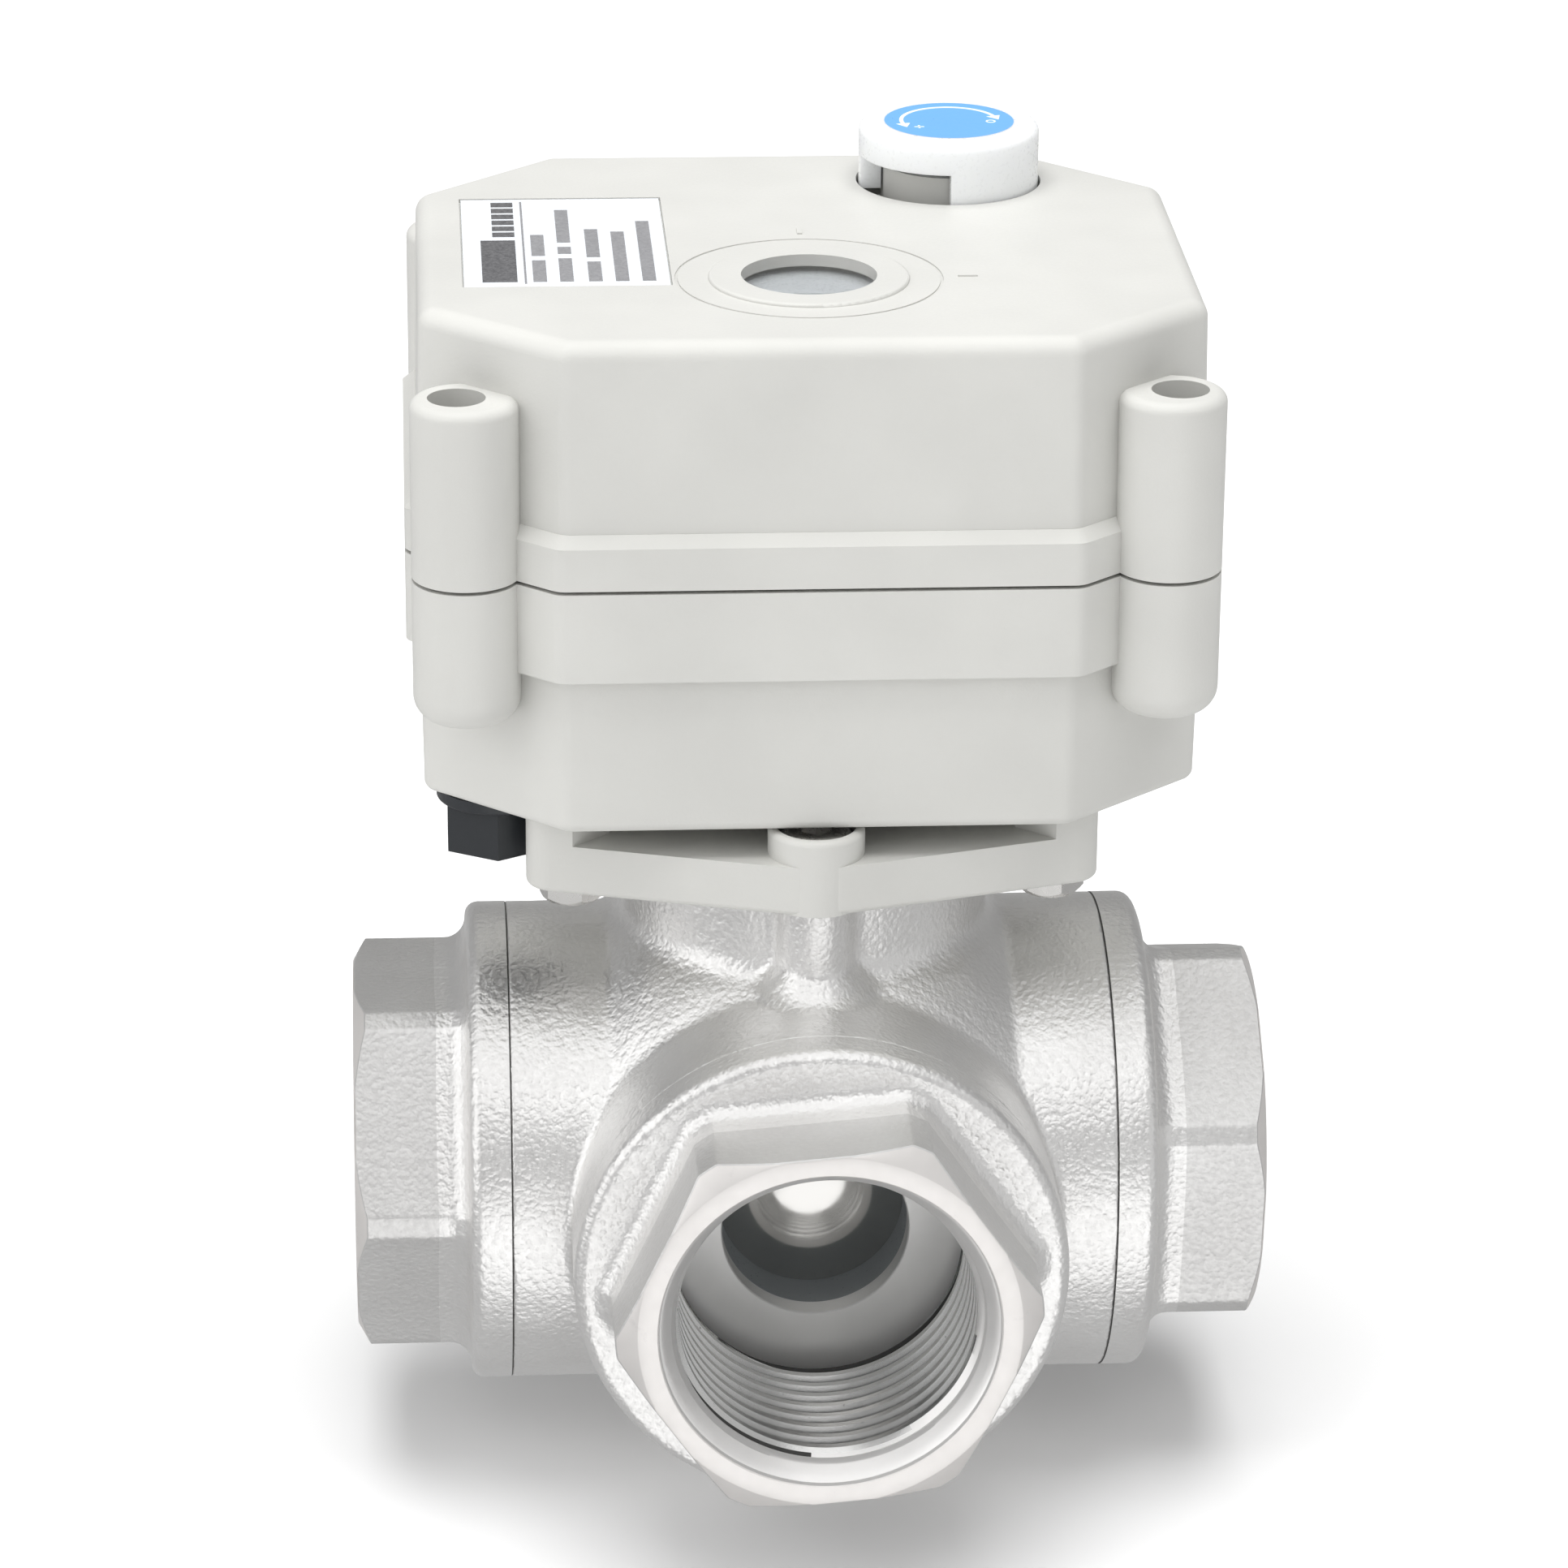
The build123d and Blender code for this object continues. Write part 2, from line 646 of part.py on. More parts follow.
def knob_socket():
    """The boss that guides the knob, with a collar inside a round groove."""
    boss = rod(KNOB_BOSS_R, KNOB_BOSS_Z, CASE_TOP - 1, KNOB_X, KNOB_Y)
    boss &= octagon_solid(KNOB_BOSS_Z, CASE_TOP, -BOSS_INSIDE, -BOSS_INSIDE)
    collar = rod(COLLAR_TUBE_R, CASE_TOP - 1, COLLAR_TUBE_TOP, KNOB_X, KNOB_Y)
    return boss + collar


def cover_cuts():
    """What is cut from the cover around the knob, the label and the window."""
    groove = tube(GROOVE_R, COLLAR_TUBE_R, GROOVE_FLOOR, CASE_TOP + 1, KNOB_X, KNOB_Y)
    guide = rod(KNOB_HUB_R + RUNNING, KNOB_GUIDE_FLOOR, COLLAR_TUBE_TOP, KNOB_X, KNOB_Y)
    hole = rod(KNOB_SHAFT_R + RUNNING, KNOB_BOSS_Z, KNOB_GUIDE_FLOOR, KNOB_X, KNOB_Y)
    pocket = label(CASE_TOP - LABEL_DEEP, CASE_TOP + 1, 0)
    score = tube(SCORE_R, SCORE_R - SCORE_WIDTH, CASE_TOP - SCORE_DEEP, CASE_TOP + 1)
    return groove + guide + hole + pocket + score


def label(low, high, inset):
    """A rectangle on the left of the cover's top."""
    return block(
        (LABEL_LEFT + inset, LABEL_RIGHT - inset),
        (LABEL_FRONT + inset, LABEL_BACK - inset),
        (low, high),
    )


def label_plate():
    """The thin plate that lies in the label pocket."""
    floor = CASE_TOP - LABEL_DEEP
    return label(floor, floor + LABEL_THICK, LABEL_INSET)


def lower_casing():
    """The lower shell, with posts under the gear plate and holes for what passes."""
    high = CASE_SPLIT - SPLIT_GAP / 2
    shell = octagon_solid(CASE_BOTTOM, high, -CASE_DRAFT, 0)
    shell = fillet(shell.edges().group_by(Axis.Z)[0], BOTTOM_ROUND)
    shell += octagon_solid(BELT_BOTTOM, high, BELT, BELT)
    shell -= octagon_solid(CASE_BOTTOM + CASE_WALL, high, -CASE_WALL, -CASE_WALL)
    for x, y in corner_places(BOSS_X):
        boss = rod(BOSS_R, BOSS_BOTTOM, high, x, y)
        boss = fillet(boss.edges().group_by(Axis.Z)[0], BOSS_FOOT_ROUND)
        shell += boss - octagon_solid(CASE_BOTTOM, high, -BOSS_INSIDE, -BOSS_INSIDE)
    for x, y in corner_places(BOSS_HOLE_X):
        shell -= rod(COVER_SCREW_R, COVER_SCREW_HOLE_Z, high, x, y)
    for x, y in bracket_bolt_places():
        shell += rod(BOLT_POST_R, CASE_BOTTOM + 1, LOWER_PLATE, x, y)
        shell -= rod(BRACKET_BOLT_R + 0.1, CASE_BOTTOM, LOWER_PLATE, x, y)
    for x, y in PLATE_POSTS:
        shell += rod(PLATE_POST_R, CASE_BOTTOM + 1, LOWER_PLATE, x, y)
    shell += rod(SHAFT_POST_R, CASE_BOTTOM + 1, SHAFT_POST_TOP)
    shell -= rod(BUSH_R, CASE_BOTTOM, SHAFT_POST_TOP)
    return shell - rod(GLAND_STUD_R, CASE_BOTTOM, GLAND_STUD_TOP, GLAND_X, GLAND_Y)


def casing_gasket():
    """The thin seal in the split, set back from the outside."""
    low, high = CASE_SPLIT - SPLIT_GAP / 2, CASE_SPLIT + SPLIT_GAP / 2
    outer = BELT - SEAL_SETBACK
    inner = outer - SEAL_WIDTH
    ring = octagon_solid(low, high, outer, outer)
    return ring - octagon_solid(low, high, inner, inner)


def cover_screw(x, y):
    """A small pan-head screw at the bottom of a corner hole."""
    return screw(
        x,
        y,
        seat=BOSS_HOLE_FLOOR,
        length=COVER_SCREW_LENGTH,
        shank_r=COVER_SCREW_R,
        head_r=2.2,
        head_high=1.7,
        drive=2.0,
    )


def window_lens():
    """The clear disc behind the window."""
    return rod(LENS_R, WINDOW_LEDGE - LENS_THICK, WINDOW_LEDGE)


def gland_body():
    """A black gland with a collar, a hexagon and a hole for the cable."""
    body = rod(GLAND_COLLAR_R, GLAND_COLLAR_Z, CASE_BOTTOM, GLAND_X, GLAND_Y)
    body = fillet(body.edges().group_by(Axis.Z)[0], GLAND_COLLAR_ROUND)
    body += rod(GLAND_STUD_R, GLAND_COLLAR_Z, GLAND_STUD_TOP, GLAND_X, GLAND_Y)
    body += hexagon(GLAND_FLATS, GLAND_BOTTOM, GLAND_COLLAR_Z, GLAND_X, GLAND_Y)
    body -= rod(GLAND_HOLE_R, GLAND_SEAL[1], GLAND_STUD_TOP, GLAND_X, GLAND_Y)
    return body - rod(GLAND_SEAL_R, GLAND_BOTTOM, GLAND_SEAL[1], GLAND_X, GLAND_Y)


def gland_seal():
    """The rubber sleeve that grips the cable."""
    return tube(GLAND_SEAL_R, GLAND_SEAL_INNER_R, *GLAND_SEAL, GLAND_X, GLAND_Y)


def gland_nut():
    """The ring nut inside the casing, with a flat for the slanting wall."""
    low, inside = CASE_BOTTOM + CASE_WALL, -CASE_WALL - 2 * RUNNING
    nut = tube(GLAND_NUT_R, GLAND_STUD_R, low, GLAND_NUT_TOP, GLAND_X, GLAND_Y)
    return nut & octagon_solid(low, CASE_SPLIT, inside, inside)


# ---------------------------------------------------------------- gears


def polar(radius, degrees):
    """A point at a distance and direction from the origin."""
    turn = math.radians(degrees)
    return radius * math.cos(turn), radius * math.sin(turn)


def beyond(place, distance, degrees):
    """A point at a distance and direction from another one."""
    dx, dy = polar(distance, degrees)
    return place[0] + dx, place[1] + dy


def mesh_distance(module, teeth, other):
    """The distance between the axes of two gears in mesh."""
    return module * (teeth + other) / 2


def opposite_angle(side, other, opposite):
    """The angle of a triangle between two sides, in degrees."""
    cosine = (side**2 + other**2 - opposite**2) / (2 * side * other)
    return math.degrees(math.acos(cosine))


# The final gear meshes with both the output gear and the gear under the knob
OUTPUT = (0.0, 0.0)
KNOB = (KNOB_X, KNOB_Y)
FINAL_REACH = mesh_distance(OUTPUT_MODULE, OUTPUT_TEETH, PINION_TEETH)
MANUAL_REACH = mesh_distance(MIDDLE_MODULE, WHEEL_TEETH, MANUAL_TEETH)
KNOB_DIRECTION = math.degrees(math.atan2(KNOB_Y, KNOB_X))
FINAL_DIRECTION = KNOB_DIRECTION + opposite_angle(
    FINAL_REACH, math.hypot(KNOB_X, KNOB_Y), MANUAL_REACH
)
FINAL = beyond(OUTPUT, FINAL_REACH, FINAL_DIRECTION)
SECOND = beyond(
    FINAL, mesh_distance(MIDDLE_MODULE, WHEEL_TEETH, PINION_TEETH), SECOND_DIRECTION
)
FIRST = beyond(
    SECOND, mesh_distance(FAST_MODULE, WHEEL_TEETH, PINION_TEETH), FIRST_DIRECTION
)
MOTOR = beyond(
    FIRST, mesh_distance(FAST_MODULE, WHEEL_TEETH, PINION_TEETH), MOTOR_DIRECTION
)


def involute(angle):
    """How far an involute has turned at a pressure angle."""
    return math.tan(angle) - angle


def gear(module, teeth, shift, phase, place, layer):
    """A spur gear with involute teeth, one of them centred on the phase angle."""
    pitch = module * teeth / 2
    base = pitch * math.cos(PRESSURE)
    root = pitch - module * (DEDENDUM - shift)
    tip = pitch + module * (ADDENDUM + shift)
    thick = module * (math.pi / 2 + 2 * shift * math.tan(PRESSURE)) - BACKLASH
    at_base = thick / (2 * pitch) + involute(PRESSURE)
    start = max(root, base)
    radii = [start + (tip - start) * k / FLANK_STEPS for k in range(FLANK_STEPS + 1)]
    flank = [(r, at_base - involute(math.acos(min(1.0, base / r)))) for r in radii]
    if root < base:
        flank.insert(0, (root, at_base))
    points = []
    for tooth in range(teeth):
        middle = math.radians(phase) + 2 * math.pi * tooth / teeth
        sides = [(r, middle - a) for r, a in flank]
        sides += [(r, middle + a) for r, a in reversed(flank)]
        points += [
            (place[0] + r * math.cos(a), place[1] + r * math.sin(a)) for r, a in sides
        ]
    return prism(points, *layer)


def meshed_phase(place, teeth, phase, other_place, other_teeth):
    """The phase at which another gear's gap takes in this gear's tooth."""
    dx, dy = other_place[0] - place[0], other_place[1] - place[1]
    direction = math.degrees(math.atan2(dy, dx))
    lead = phase - direction
    return direction + 180 - lead * teeth / other_teeth + 180 / other_teeth


OUTPUT_PHASE = 0.0
FINAL_PINION_PHASE = meshed_phase(OUTPUT, OUTPUT_TEETH, OUTPUT_PHASE, FINAL, PINION_TEETH)
SECOND_PINION_PHASE = meshed_phase(FINAL, WHEEL_TEETH, 0, SECOND, PINION_TEETH)
FIRST_PINION_PHASE = meshed_phase(SECOND, WHEEL_TEETH, 0, FIRST, PINION_TEETH)
MOTOR_PINION_PHASE = meshed_phase(FIRST, WHEEL_TEETH, 0, MOTOR, PINION_TEETH)
MANUAL_PHASE = meshed_phase(FINAL, WHEEL_TEETH, 0, KNOB, MANUAL_TEETH)


def compound_gear(place, wheel, pinion, wheel_layer, pinion_layer, pinion_phase):
    """A large wheel and a small pinion in one piece, on a fixed axle."""
    body = gear(wheel, WHEEL_TEETH, -PROFILE_SHIFT, 0, place, wheel_layer)
    reach = (pinion_layer[0], wheel_layer[0])
    body += gear(pinion, PINION_TEETH, PROFILE_SHIFT, pinion_phase, place, reach)
    return body - rod(AXLE_R + RUNNING, pinion_layer[0], wheel_layer[1], *place)


def final_gear():
    """Drives the output gear, and is driven by the second gear or the knob."""
    return compound_gear(
        FINAL, MIDDLE_MODULE, OUTPUT_MODULE, LAYER_B, LAYER_A, FINAL_PINION_PHASE
    )


def second_gear():
    """Between the final gear and the first gear."""
    return compound_gear(
        SECOND, FAST_MODULE, MIDDLE_MODULE, LAYER_C, LAYER_B, SECOND_PINION_PHASE
    )


def first_gear():
    """Driven by the motor's pinion."""
    return compound_gear(
        FIRST, FAST_MODULE, FAST_MODULE, LAYER_D, LAYER_C, FIRST_PINION_PHASE
    )


def output_gear():
    """The large gear on the output shaft, with a hub for the cross pin."""
    body = gear(OUTPUT_MODULE, OUTPUT_TEETH, -PROFILE_SHIFT, OUTPUT_PHASE, OUTPUT, LAYER_A)
    body += rod(BUSH_R, LAYER_A[1], LAYER_B[1])
    body -= rod(SHAFT_R, LAYER_A[0], LAYER_B[1])
    return body - cross_pin()


def cross_pin():
    """The pin that fixes the output gear to its shaft."""
    middle = (LAYER_A[1] + LAYER_B[1]) / 2
    return Pos(0, 0, middle) * Rot(0, 90, 0) * Cylinder(CROSS_PIN_R, CROSS_PIN_LENGTH)


def manual_gear():
    """Always in mesh with the final gear; the pressed knob grips its clutch disc."""
    body = gear(MIDDLE_MODULE, MANUAL_TEETH, PROFILE_SHIFT, MANUAL_PHASE, KNOB, LAYER_B)
    clutch_top = KNOB_SHAFT_Z - KNOB_TRAVEL - RUNNING
    body += rod(MANUAL_HUB_R, MANUAL_SHOULDER_Z, clutch_top, *KNOB)
    body += rod(CLUTCH_R, clutch_top - CLUTCH_THICK, clutch_top, *KNOB)
    return body + rod(MANUAL_JOURNAL_R, MANUAL_JOURNAL_Z, MANUAL_SHOULDER_Z, *KNOB)


def gear_axle(x, y):
    """A steel axle held in both plates."""
    return rod(AXLE_R, LOWER_PLATE, UPPER_PLATE + PLATE_THICK, x, y)


def plate_blank(low):
    """A gear plate with cut corners."""
    front, back, half, cut = PLATE_FRONT_Y, PLATE_BACK_Y, PLATE_HALF_X, PLATE_CUT
    points = [
        (half, front + cut),
        (half, back - cut),
        (half - cut, back),
        (cut - half, back),
        (-half, back - cut),
        (-half, front + cut),
        (cut - half, front),
        (half - cut, front),
    ]
    plate = prism(points, low, low + PLATE_THICK)
    for x, y in (FINAL, SECOND, FIRST):
        plate -= rod(AXLE_R, low, low + PLATE_THICK, x, y)
    return plate


def lower_gear_plate():
    """Stands on the casing's posts; the bracket's bolts screw into it."""
    top = LOWER_PLATE + PLATE_THICK
    plate = plate_blank(LOWER_PLATE)
    plate -= rod(SHAFT_R + 1.0, LOWER_PLATE, top)
    plate -= rod(MANUAL_JOURNAL_R + RUNNING, LOWER_PLATE, top, *KNOB)
    for x, y in bracket_bolt_places():
        plate -= rod(BRACKET_BOLT_R, LOWER_PLATE, top, x, y)
    return plate


def upper_gear_plate():
    """Carries the motor, the switches and the circuit board."""
    top = UPPER_PLATE + PLATE_THICK
    plate = plate_blank(UPPER_PLATE)
    plate -= rod(BUSH_R, UPPER_PLATE, top)
    plate -= rod(KNOB_SHAFT_R + RUNNING, UPPER_PLATE, top, *KNOB)
    plate -= rod(MOTOR_BOSS_R, UPPER_PLATE, top, *MOTOR)
    for x, y in motor_screw_places():
        plate -= rod(MOTOR_SCREW_R, UPPER_PLATE, top, x, y)
    for x, y in PILLARS:
        plate -= rod(PILLAR_HOLE_R, UPPER_PLATE, top, x, y)
    return plate


def spacer_pillar(x, y):
    """Holds the plates apart, with a threaded top."""
    low, high = LOWER_PLATE + PLATE_THICK, UPPER_PLATE
    return tube(PILLAR_R, PILLAR_HOLE_R, low, high, x, y)


def pillar_screw(x, y):
    """Fixes the upper plate to a pillar."""
    return screw(
        x,
        y,
        seat=UPPER_PLATE + PLATE_THICK,
        length=7.0,
        shank_r=PILLAR_HOLE_R,
        head_r=2.2,
        head_high=1.4,
        drive=2.0,
    )


# ---------------------------------------------------------------- output


def output_shaft():
    """The shaft from the stem's square up to the dial."""
    shaft = rod(BUSH_R, SOCKET_BOTTOM, SOCKET_TOP)
    shaft += rod(SHAFT_R, SOCKET_TOP, SHAFT_STEP)
    shaft += rod(SHAFT_TOP_R, SHAFT_STEP, SHAFT_TOP)
    half = STEM_SQUARE / 2
    shaft -= block((-half, half), (-half, half), (SOCKET_BOTTOM, STEM_TOP + 0.2))
    return shaft - cross_pin()


def shaft_bushes():
    """The plain bearings in the casing's floor and in the upper plate."""
    inner = SHAFT_R + RUNNING
    lower = tube(BUSH_R, inner, CASE_BOTTOM, BUSH_TOP)
    upper = tube(BUSH_R, inner, UPPER_PLATE, UPPER_PLATE + PLATE_THICK)
    return Compound(children=[lower, upper])


def shaft_seal():
    """The lip seal above the lower bearing."""
    return tube(BUSH_R, SHAFT_R + 0.02, BUSH_TOP, SHAFT_POST_TOP)


def cam(level, rising):
    """A spiral cam: its radius changes evenly over the quarter turn that it drives."""
    low, high = CAM_LEVELS[level]
    points = []
    for degrees in range(-180, 180, CAM_STEP):
        share = min(1.0, max(0.0, -degrees / 90))
        if degrees < -90:
            share = (degrees + 180) / 90
        if not rising:
            share = 1 - share
        points.append(polar(CAM_LOW_R + share * (CAM_HIGH_R - CAM_LOW_R), degrees))
    return prism(points, low, high) - rod(SHAFT_TOP_R, low, high)


def position_dial():
    """The dial under the window, on a hub pressed on the shaft's top."""
    hub = rod(DIAL_HUB_R, DIAL_HUB_Z, DIAL_DISC_Z)
    hub += rod(DIAL_R, DIAL_DISC_Z, DIAL_TOP)
    pointer = block(
        (-POINTER_REACH, POINTER_REACH),
        (-POINTER_HALF, POINTER_HALF),
        (DIAL_TOP, POINTER_TOP),
    )
    return hub + pointer - rod(SHAFT_TOP_R, DIAL_HUB_Z, SHAFT_TOP)


def limit_switch(level):
    """A miniature switch whose plunger faces the cam."""
    low, high = CAM_LEVELS[level]
    middle = (low + high) / 2
    low, high = low - SWITCH_MARGIN, high + SWITCH_MARGIN
    body = block((SWITCH_FACE, SWITCH_END), (-SWITCH_HALF_Y, SWITCH_HALF_Y), (low, high))
    body = fillet(body.edges().filter_by(Axis.Z), SWITCH_ROUND)
    body -= plunger_shape(middle, SWITCH_FACE, SWITCH_FACE + SWITCH_BORE, RUNNING)
    for x, y in SWITCH_HOLES:
        body -= rod(1.0, low, high, x, y)
    for y in TERMINAL_YS:
        blade_z = (middle - 0.2, middle + 0.2)
        body += block((SWITCH_END, TERMINAL_END), (y - 0.4, y + 0.4), blade_z)
    return body


def plunger_shape(middle, start, end, grow):
    """A flat bar along X, centred on Y = 0."""
    half_y, half_z = PLUNGER_HALF_Y + grow, PLUNGER_HIGH / 2 + grow
    return block((start, end), (-half_y, half_y), (middle - half_z, middle + half_z))


def switch_plunger(level, cam_r):
    """The button that the cam pushes, with a rounded nose."""
    start = cam_r + PLUNGER_GAP
    bar = plunger_shape(sum(CAM_LEVELS[level]) / 2, start, start + PLUNGER_LONG, 0)
    return fillet(bar.edges().group_by(Axis.X)[0].filter_by(Axis.Z), PLUNGER_ROUND)


# ---------------------------------------------------------------- motor


def motor_screw_places():
    """The two screws that hold the motor, either side of its shaft."""
    return [beyond(MOTOR, MOTOR_SCREW_REACH, turn) for turn in (90, 270)]


def motor_can():
    """The steel can, open at the top, with a locating boss below."""
    floor = UPPER_PLATE + PLATE_THICK
    can = rod(MOTOR_R, floor, MOTOR_TOP, *MOTOR)
    inside = floor + MOTOR_FLOOR
    can = fillet(can.edges().group_by(Axis.Z)[0], 0.6)
    can -= rod(MOTOR_R - MOTOR_WALL, inside, MOTOR_TOP, *MOTOR)
    can += rod(MOTOR_BOSS_R, UPPER_PLATE, inside, *MOTOR)
    can -= rod(MOTOR_SHAFT_R + RUNNING, UPPER_PLATE, inside, *MOTOR)
    for x, y in motor_screw_places():
        can -= rod(MOTOR_SCREW_R, floor, inside, x, y)
    return can


def motor_magnets():
    """Two curved magnets inside the can."""
    x, y = MOTOR
    ring = tube(MOTOR_R - MOTOR_WALL, MAGNET_INNER_R, *MAGNET, x, y)
    gap_y = (y - MAGNET_GAP_HALF, y + MAGNET_GAP_HALF)
    return ring - block((x - MOTOR_R, x + MOTOR_R), gap_y, MAGNET)


def motor_rotor():
    """The shaft with its laminated core and commutator."""
    rotor = rod(MOTOR_SHAFT_R, LAYER_D[0], MOTOR_SHAFT_TOP, *MOTOR)
    rotor += rod(CORE_R, *CORE, *MOTOR)
    rotor += rod(COMMUTATOR_R, CORE[1], COMMUTATOR_TOP, *MOTOR)
    for turn in (0, 120, 240):
        place = beyond(MOTOR, WINDING_HOLE_REACH, turn)
        rotor -= rod(WINDING_HOLE_R, *CORE, *place)
    return rotor


def motor_pinion():
    """The small gear on the motor's shaft."""
    body = gear(FAST_MODULE, PINION_TEETH, PROFILE_SHIFT, MOTOR_PINION_PHASE, MOTOR, LAYER_D)
    return body - rod(MOTOR_SHAFT_R, *LAYER_D, *MOTOR)


def motor_end_cap():
    """The plastic end with the rear bearing and two terminals."""
    top = MOTOR_TOP + END_CAP_THICK
    cap = rod(MOTOR_R, MOTOR_TOP, top, *MOTOR)
    cap -= rod(MOTOR_SHAFT_R + RUNNING, MOTOR_TOP, MOTOR_SHAFT_TOP + 0.1, *MOTOR)
    x, y = MOTOR
    for side in (-TERMINAL_X, TERMINAL_X):
        blade_x = (x + side - 0.3, x + side + 0.3)
        cap += block(blade_x, (y - 1, y + 1), (top, TERMINAL_TOP))
    return cap


def motor_screw(x, y):
    """A countersunk screw from below the plate into the motor."""
    low = UPPER_PLATE - MOTOR_SCREW_HEAD_HIGH
    tip = UPPER_PLATE + PLATE_THICK + MOTOR_FLOOR - 0.1
    head = cone(MOTOR_SCREW_HEAD_R, 1.2, low, UPPER_PLATE, x, y)
    return head + rod(MOTOR_SCREW_R, UPPER_PLATE, tip, x, y)


# ---------------------------------------------------------------- electronics


def control_board():
    """The circuit board that stands on the upper plate."""
    return block(BOARD_X, BOARD_Y, (UPPER_PLATE + PLATE_THICK, BOARD_TOP))


def capacitor():
    """A can capacitor lying against the board."""
    place = Pos(BOARD_X[0] - CAPACITOR_LENGTH / 2, CAPACITOR_Y, CAPACITOR_Z)
    body = place * Rot(0, 90, 0) * Cylinder(CAPACITOR_R, CAPACITOR_LENGTH)
    return fillet(body.edges().group_by(Axis.X)[0], 0.6)


def terminal_block():
    """Where the cable's wires are clamped."""
    body = block((BOARD_X[1], BLOCK_END_X), BLOCK_Y, BLOCK_Z)
    wire_hole = Rot(0, 90, 0) * Cylinder(WIRE_HOLE_R, BLOCK_END_X - CLAMP_X, align=GROUND)
    for y in WIRE_YS:
        body -= rod(CLAMP_R, CLAMP_FLOOR, BLOCK_Z[1], CLAMP_X, y)
        body -= Pos(CLAMP_X, y, WIRE_Z) * wire_hole
    return body


# ---------------------------------------------------------------- knob


def override_knob():
    """The knob: a cap over the cover's collar, with a hub and a notch in the skirt."""
    knob = rod(KNOB_R, KNOB_SKIRT, KNOB_TOP, *KNOB)
    knob = fillet(knob.edges().group_by(Axis.Z)[-1], KNOB_ROUND)
    knob -= rod(KNOB_INNER_R, KNOB_SKIRT, KNOB_ROOF, *KNOB)
    knob += rod(KNOB_HUB_R, KNOB_HUB_Z, KNOB_ROOF, *KNOB)
    knob -= rod(KNOB_SHAFT_R, KNOB_HUB_Z, KNOB_SHAFT_TOP, *KNOB)
    knob -= rod(STICKER_R, KNOB_TOP - STICKER_THICK, KNOB_TOP, *KNOB)
    heights = (KNOB_SKIRT, NOTCH_TOP)
    notch = block(
        (KNOB_X - NOTCH_REACH, KNOB_X + NOTCH_X),
        (KNOB_Y - NOTCH_REACH, KNOB_Y + NOTCH_Y),
        heights,
    )
    return knob - (notch & tube(NOTCH_REACH, KNOB_INNER_R - 0.1, *heights, *KNOB))


def knob_sticker():
    """The round marker on the knob."""
    return rod(STICKER_R, KNOB_TOP - STICKER_THICK, KNOB_TOP, *KNOB)


def knob_shaft():
    """From the knob down to a clutch disc, with a stop collar and two grooves."""
    shaft = rod(KNOB_SHAFT_R, KNOB_SHAFT_Z, KNOB_SHAFT_TOP, *KNOB)
    shaft += rod(CLUTCH_R, KNOB_SHAFT_Z, KNOB_SHAFT_Z + CLUTCH_THICK, *KNOB)
    shaft += rod(STOP_R, *STOP_COLLAR, *KNOB)
    shaft -= tube(KNOB_SHAFT_R, CLIP_GROOVE_R, *CLIP_GROOVE, *KNOB)
    return shaft - knob_seal()


def knob_clip():
    """The retaining ring that the spring's washer pushes against."""
    ring = tube(CLIP_R, CLIP_GROOVE_R, *CLIP_GROOVE, *KNOB)
    gap_y = (KNOB_Y - CLIP_GAP_HALF, KNOB_Y + CLIP_GAP_HALF)
    return ring - block((KNOB_X, KNOB_X + CLIP_R), gap_y, CLIP_GROOVE)


def spring_washer():
    """Slides with the knob but doesn't turn."""
    return tube(SPRING_WASHER_R, KNOB_SHAFT_R + RUNNING, *SPRING_WASHER, *KNOB)


def knob_seal():
    """A sealing ring in the shaft's upper groove."""
    return tube(KNOB_SHAFT_R, SEAL_GROOVE_R, *SEAL_GROOVE, *KNOB)


def knob_spring():
    """The coil spring that lifts the knob."""
    low, high = SPRING
    path = Helix(pitch=SPRING_PITCH, height=high - low, radius=SPRING_R)
    start = Plane(origin=path @ 0, z_dir=path % 0)
    wire = sweep(start * Circle(WIRE_R), path=path, is_frenet=True)
    return Pos(KNOB_X, KNOB_Y, low) * wire


# ---------------------------------------------------------------- assembly


def on_ports(shape, ports):
    """One copy of a piece on each port, as one group of solids."""
    return Compound(children=[on_port(shape, port) for port in ports])


